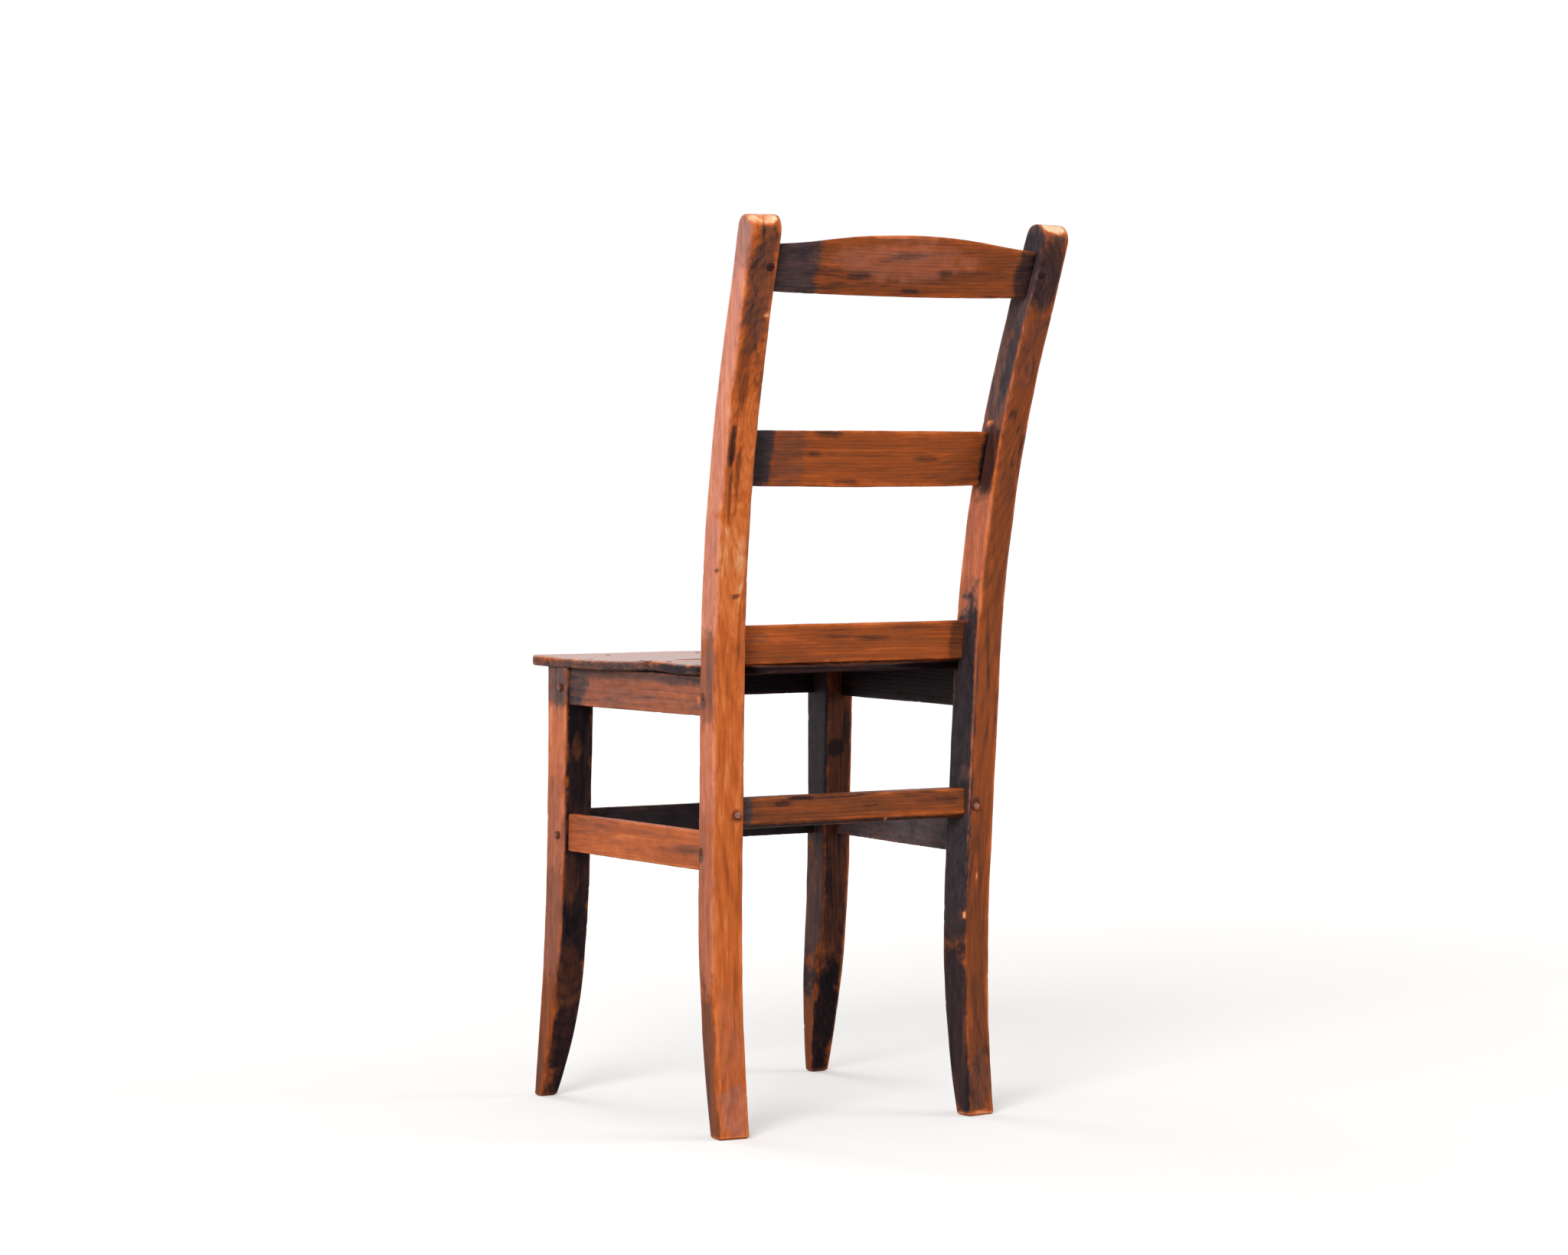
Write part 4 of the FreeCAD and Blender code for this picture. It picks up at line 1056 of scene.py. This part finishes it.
def rails():
    lower_y = by_post(-OUTER, LOWER_RAIL_SET_BACK - LOWER_RAIL[2], SEAT_HEIGHT).y
    middle = BACK_STRETCHER[0] + BACK_STRETCHER[1] / 2
    stretcher_y = by_post(-OUTER, BACK_STRETCHER_SET_BACK, middle).y

    posts = [inner_plane(post_frame(side), side, OUTER) for side in (-1, 1)]
    legs = [inner_plane(leg_frame(side), side, LEG_OUTER) for side in (-1, 1)]
    back_stretcher = straight_corners(BACK_STRETCHER, stretcher_y, chamfer=BACK_STRETCHER_CHAMFER)

    def front_corners(shape):
        middle = leg_front(shape[0] + shape[1] / 2)
        return straight_corners(shape, -LEG_SET_FORWARD + middle + FRONT_SET_BACK)

    for name, at, planes, tone, marks, seed, saw in (
            ("crest_rail", bowed_corners(CREST), posts, 0.50, CREST_MARKS, 3, 0.0),
            ("middle_slat", bowed_corners(SLAT), posts, 0.58, SLAT_MARKS, 4, 0.0),
            ("lower_back_rail", straight_corners(LOWER_RAIL, lower_y, LOWER_RAIL_RAKE),
             posts, 0.61, LOWER_RAIL_MARKS, 5, 0.0),
            ("back_stretcher", back_stretcher, posts, 0.47, BACK_STRETCHER_MARKS, 6, 0.0),
            ("front_apron", front_corners(FRONT_APRON), legs, 0.48, FRONT_APRON_MARKS, 7, 0.0),
            ("front_stretcher", front_corners(FRONT_STRETCHER), legs, 0.5,
             FRONT_STRETCHER_MARKS, 8, 0.25)):
        piece = bar(f"{name}_wood", at, "x", planes, tone=tone, marks=marks, seed=seed, saw=saw)
        replace(piece, name)


# Seat

def seat_half(y):
    """Half the width of the seat at y, between its slanted side edges."""
    front = -LEG_SET_FORWARD - SEAT_NOSE
    corner = by_post(OUTER, 0, SEAT_HEIGHT)
    front_half = (leg_frame(1) @ Vector((LEG_OUTER, 0, SEAT_HEIGHT))).x + SEAT_FRONT_OVERHANG
    rear_half = corner.x + SEAT_REAR_OVERHANG
    return front_half + (rear_half - front_half) * (y - front) / (corner.y - front)


def cupped(point):
    """The seat boards have cupped: the joint stands proud and the middle of each has sunk."""
    y = point.y - SEAT_JOINT
    if y < 0:
        reach = (y + CUP_MIDDLE) / CUP_MIDDLE
        rise = -CUP_DEPTH + (CUP_DEPTH + JOINT_RISE) * reach ** 2 * (1.0 if reach > 0 else 0.5)
    else:
        rise = JOINT_RISE * max(0.0, 1 - y / JOINT_FADE) ** JOINT_CURVE
    return point + Vector((0, 0, rise))


def seat_ring(y, half, shrink=0.0):
    low = SEAT_HEIGHT - SEAT_THICKNESS + shrink
    high = SEAT_HEIGHT - shrink
    return [Vector((-half, y, low)), Vector((-half, y, high)),
            Vector((half, y, high)), Vector((half, y, low))]


def chipped(point):
    """The front board is cupped too, and a chip has gone from its left edge at the joint."""
    gap = point - Vector((*SEAT_CHIP, point.z))
    bite = smooth_step(CHIP_REACH - gap.length / CHIP_SIZE)
    down = CHIP_DOWN if point.z > SEAT_HEIGHT - SEAT_THICKNESS / 2 else 0
    return cupped(point) - Vector((CHIP_INWARD, 0, down)) * bite


def seat_boards():
    """Two boards. The front one has rounded corners, the rear one a tongue between the posts."""
    front = -LEG_SET_FORWARD - SEAT_NOSE
    rings = []
    for turn in SEAT_CORNER_TURNS:
        angle = math.radians(turn)
        y = front + SEAT_CORNER * (1 - math.cos(angle))
        half = seat_half(y) - SEAT_CORNER * (1 - math.sin(angle))
        shrink = SEAT_NOSE_DROP * (1 - math.sin(min(angle * 2, math.pi / 2)))
        rings.append((seat_ring(y, half, shrink),
                      1.0 if turn > SEAT_NOSE_TURN else SEAT_NOSE_ARRIS))
    for y in steps(front + SEAT_CORNER, SEAT_JOINT + JOINT_OVERLAP, SEAT_RING_STEP):
        rings.append((seat_ring(y, seat_half(y)), 1.0))
    piece = loft("seat_front_board", rings, Matrix(), "x", SEAT_WOOD, tone=0.58, marks=SEAT_MARKS,
                 seed=11, flats=SEAT_FLATS, radius=SEAT_ARRIS, warp=chipped)
    replace(piece, "seat_board_front", slot="seat_wood")

    notch_y = by_post(OUTER, -SEAT_SHOULDER_GAP, SEAT_HEIGHT).y
    tongue_y = by_post(-OUTER, SEAT_TONGUE, SEAT_HEIGHT).y
    rings = [(seat_ring(y, seat_half(y)), 1.0)
             for y in steps(SEAT_JOINT - JOINT_OVERLAP, notch_y, SEAT_RING_STEP)]
    for y in steps(notch_y + NOTCH_CORNER, tongue_y, SEAT_RING_STEP):
        inner = by_post(-OUTER - SEAT_POST_GAP, 0, SEAT_HEIGHT)
        half = inner.x + (y - inner.y) * math.tan(math.radians(POST_TOE))
        rings.append((seat_ring(y, half), 1.0))
    piece = loft("seat_rear_board", rings, Matrix(), "x", SEAT_WOOD, tone=0.56, marks=SEAT_MARKS,
                 seed=12, flats=SEAT_FLATS, radius=SEAT_ARRIS, warp=cupped)
    replace(piece, "seat_board_rear", slot="seat_wood")


# Pegs and nails

def prism(skin, place, width, proud, sides, seed, tone, marks=()):
    """A whittled peg or a nail head: its end is domed a little and cut unevenly."""
    rings = []
    by_seed, by_corner = WHITTLED_APART
    for depth, share in [(-PEG_ROOT, 1.0)] + [(proud * up, share) for up, share in PRISM_DOME]:
        corners = []
        for i in range(sides):
            turn = 2 * math.pi * i / sides
            jitter = 1 + WHITTLED * noise.noise(Vector((seed * by_seed, i * by_corner, 0)))
            reach = width / 2 / math.cos(math.pi / sides) * share * jitter
            tilt = CUT_SLANT * proud * math.cos(turn + seed) if depth > 0 else 0.0
            corners.append(Vector((reach * math.cos(turn), reach * math.sin(turn), depth + tilt)))
        rings.append((corners, share))
    skin.add(rings, place, "z", tone=tone, marks=marks, seed=seed, flats=[1] * sides,
             radius=PRISM_ARRIS, rough=PRISM_ROUGHNESS)


def facing(frame, spot, outward):
    """A frame at a spot of a post or leg, whose z points out of the face."""
    turned = Vector(outward).to_track_quat("Z", "Y").to_matrix().to_4x4()
    return frame @ Matrix.Translation(spot) @ turned


def pegs():
    crest_z = CREST[0] + CREST[1] / 2
    back_z = BACK_STRETCHER[0] + BACK_STRETCHER[1] / 2
    places = {}

    def put(kind, frame, spot, outward, proud):
        places.setdefault(kind, []).append((facing(frame, spot, outward), proud))

    for label, side in SIDES.items():
        post, leg = post_frame(side), leg_frame(side)
        across = -side * (OUTER - PEG_INSET)
        leg_across = -side * (LEG_OUTER - PEG_INSET - SHOULDER)
        put("crest", post, (across, post_rear(crest_z), crest_z),
            rearward(POST_RAKE - POST_TAPER), FLUSH_PEG_PROUD)
        low = back_z - (0 if side > 0 else RIGHT_BACK_PEG_DROP)
        put("back_stretcher", post, (across, post_rear(low), low), rearward(POST_TILT), PEG_PROUD)
        for kind, shape, drop in (("side_apron", SIDE_APRON, APRON_PEG_DROP),
                                  ("side_stretcher", SIDE_STRETCHER[label], STRETCHER_PEG_DROP)):
            z = shape[0] + shape[1] / 2
            put(kind, leg, (side * LEG_OUTER, leg_rear(z) - LEG_TENON_LENGTH / 2, z - drop),
                (side, 0, 0), PEG_PROUD)
            put(kind, post, (side * OUTER, post_front(z) + PEG_INSET, z),
                (side, 0, 0), FLUSH_PEG_PROUD)
        for kind, shape in (("front_apron", FRONT_APRON), ("front_stretcher", FRONT_STRETCHER)):
            z = shape[0] + shape[1] / 2
            put(kind, leg, (leg_across, leg_front(z), z), (0, -1, 0), FLUSH_PEG_PROUD)
    for index, (kind, spots) in enumerate(places.items()):
        skin = Skin()
        for number, (place, proud) in enumerate(spots):
            seed = PEG_SEED + index * PEG_KINDS_APART + number
            prism(skin, place, PEG_WIDTH, proud, PEG_SIDES, seed, PEG_TONES.get(kind, PEG_TONE),
                  PEG_MARKS)
        replace(skin.piece(f"{kind}_peg_ends", PEG_WOOD), f"{kind}_pegs", slot="peg_wood")


def nails():
    """Flush nail heads, on the cupped seat."""
    spots = []
    leg_inner = LEG_SPREAD / 2 - LEG_OUTER
    top = SEAT_HEIGHT - SEAT_THICKNESS
    line = -LEG_SET_FORWARD + leg_front(top - FRONT_APRON[1] / 2) + FRONT_SET_BACK \
        + FRONT_APRON[2] / 2
    spots += [(share * leg_inner, line) for share in FRONT_NAILS]
    z = top - SIDE_APRON[1] / 2
    front = leg_frame(1) @ Vector((LEG_OUTER - SIDE_INSET["apron"], leg_rear(z), z))
    rear = by_post(OUTER, 0, z)
    rear.x -= SIDE_REAR_INSET
    corner = by_post(OUTER, 0, SEAT_HEIGHT)
    for y in (-LEG_SET_FORWARD + leg_rear(top) + NAIL_END_MARGIN, SEAT_JOINT - NAIL_END_MARGIN,
              SEAT_JOINT + NAIL_END_MARGIN / 2, corner.y - NAIL_END_MARGIN / 2):
        share = (y - front.y) / (rear.y - front.y)
        x = front.x + (rear.x - front.x) * share - SIDE_APRON[2] / 2
        spots += [(x, y), (-x, y)]
    skin = Skin()
    for number, (x, y) in enumerate(spots):
        place = Matrix.Translation(cupped(Vector((x, y, SEAT_HEIGHT))))
        prism(skin, place, NAIL_HEAD_WIDTH, NAIL_PROUD, NAIL_SIDES, NAIL_SEED + number,
              NAIL_TONE)
    replace(skin.piece("seat_nail_heads", IRON), "seat_nails", slot="nail_iron")


# Stage, in metres and degrees

CAMERA_AT = Vector((2.07335, 3.44209, 0.6245))
CAMERA_TURN = (88.0184, 0.1681, 149.0495)
PHOTO_WIDTH = 2048
FOCAL_PIXELS = 5249
SENSOR = 36.0
FLOOR_BOUNCE = (0.24, 0.20, 0.18, 1)
FLOOR_SHOWN = (0.80, 0.79, 0.78, 1)
FLOOR_HALF = 30.0
FLOOR_ROUGHNESS = 0.9
FLOOR_GLOW = 0.58
NEAR_GLOW = 0.22
GLOW_REACH = (0.6, 4.0)
WHITE = (1, 1, 1, 1)
WORLD_LIGHT = 0.55

# Lamps: place, size and power
LAMPS = {
    "key": ((2.6, 2.2, 2.2), 1.8, 90),
    "fill": ((-2.8, 1.8, 1.6), 2.0, 30),
    "front": ((0.6, -3.0, 1.8), 2.0, 30),
}
LAMP_TARGET = Vector((0, 0, 0.45))


def camera():
    data = bpy.data.cameras.new("view")
    data.sensor_width = SENSOR
    data.lens = FOCAL_PIXELS / PHOTO_WIDTH * SENSOR
    made = into_scene("view", data)
    turned = Euler(radians(*CAMERA_TURN)).to_matrix().to_4x4()
    made.matrix_world = Matrix.Translation(CAMERA_AT) @ turned
    bpy.context.scene.camera = made


def lamp(name, place, size, watts):
    data = bpy.data.lights.new(name, "AREA")
    data.shape = "DISK"
    data.size = size
    data.energy = watts
    made = into_scene(name, data)
    made.location = place
    made.rotation_euler = (LAMP_TARGET - Vector(place)).to_track_quat("-Z", "Y").to_euler()


def floor():
    """A pale floor, which the camera sees as white where no shadow falls."""
    n = Nodes(bpy.data.materials.new("floor_look"))
    seen = n.seen_by("Camera", "Glossy")
    n.look("Base Color", n.mix(seen, FLOOR_BOUNCE, FLOOR_SHOWN))
    away = n.length(n.add("NewGeometry").outputs["Position"])
    glow = n.between(away, *GLOW_REACH, NEAR_GLOW, FLOOR_GLOW)
    n.look("Emission Strength", n.math("MULTIPLY", seen, glow))
    n.look("Emission Color", WHITE)
    n.look("Roughness", FLOOR_ROUGHNESS)
    n.look("Specular IOR Level", 0.0)
    mesh = bpy.data.meshes.new("floor")
    corners = [(x * FLOOR_HALF, y * FLOOR_HALF, 0) for x, y in ((-1, -1), (1, -1), (1, 1), (-1, 1))]
    mesh.from_pydata(corners, [], [(0, 1, 2, 3)])
    mesh.materials.append(n.owner)
    into_scene("floor", mesh)


def world():
    """Plain white to the camera and in reflections, and a softer white as the light."""
    made = bpy.data.worlds.new("studio")
    bpy.context.scene.world = made
    n = Nodes(made)
    light, white = n.tree.nodes["Background"], n.add("Background")
    for background, strength in ((light, WORLD_LIGHT), (white, 1.0)):
        background.inputs["Color"].default_value = WHITE
        background.inputs["Strength"].default_value = strength
    mixed = n.add("MixShader")
    seen = n.seen_by("Camera", "Transmission", "Glossy")
    for socket, value in zip(mixed.inputs, (seen, light.outputs[0], white.outputs[0])):
        n.feed(socket, value)
    n.feed(n.tree.nodes["World Output"].inputs[0], mixed.outputs[0])


back_post("left", tone=0.72, marks=LEFT_POST_MARKS, seed=1)
back_post("right", tone=0.52, marks=RIGHT_POST_MARKS, seed=2)
front_leg("left", tone=0.50, marks=LEFT_LEG_MARKS, seed=9)
front_leg("right", tone=0.50, marks=RIGHT_LEG_MARKS, seed=10)
rails()
side_rail("apron", "left", SIDE_APRON, tone=0.52, marks=LEFT_APRON_MARKS, seed=14)
side_rail("apron", "right", SIDE_APRON, tone=0.52, marks=RIGHT_APRON_MARKS, seed=12)
side_rail("stretcher", "left", SIDE_STRETCHER["left"], tone=0.68, marks=LEFT_STRETCHER_MARKS,
          seed=17)
side_rail("stretcher", "right", SIDE_STRETCHER["right"], tone=0.60, marks=RIGHT_STRETCHER_MARKS,
          seed=15, saw=0.35)
seat_boards()
pegs()
nails()

camera()
floor()
world()
for name, (place, size, watts) in LAMPS.items():
    lamp(name, place, size, watts)
bpy.context.scene.view_settings.view_transform = "Standard"
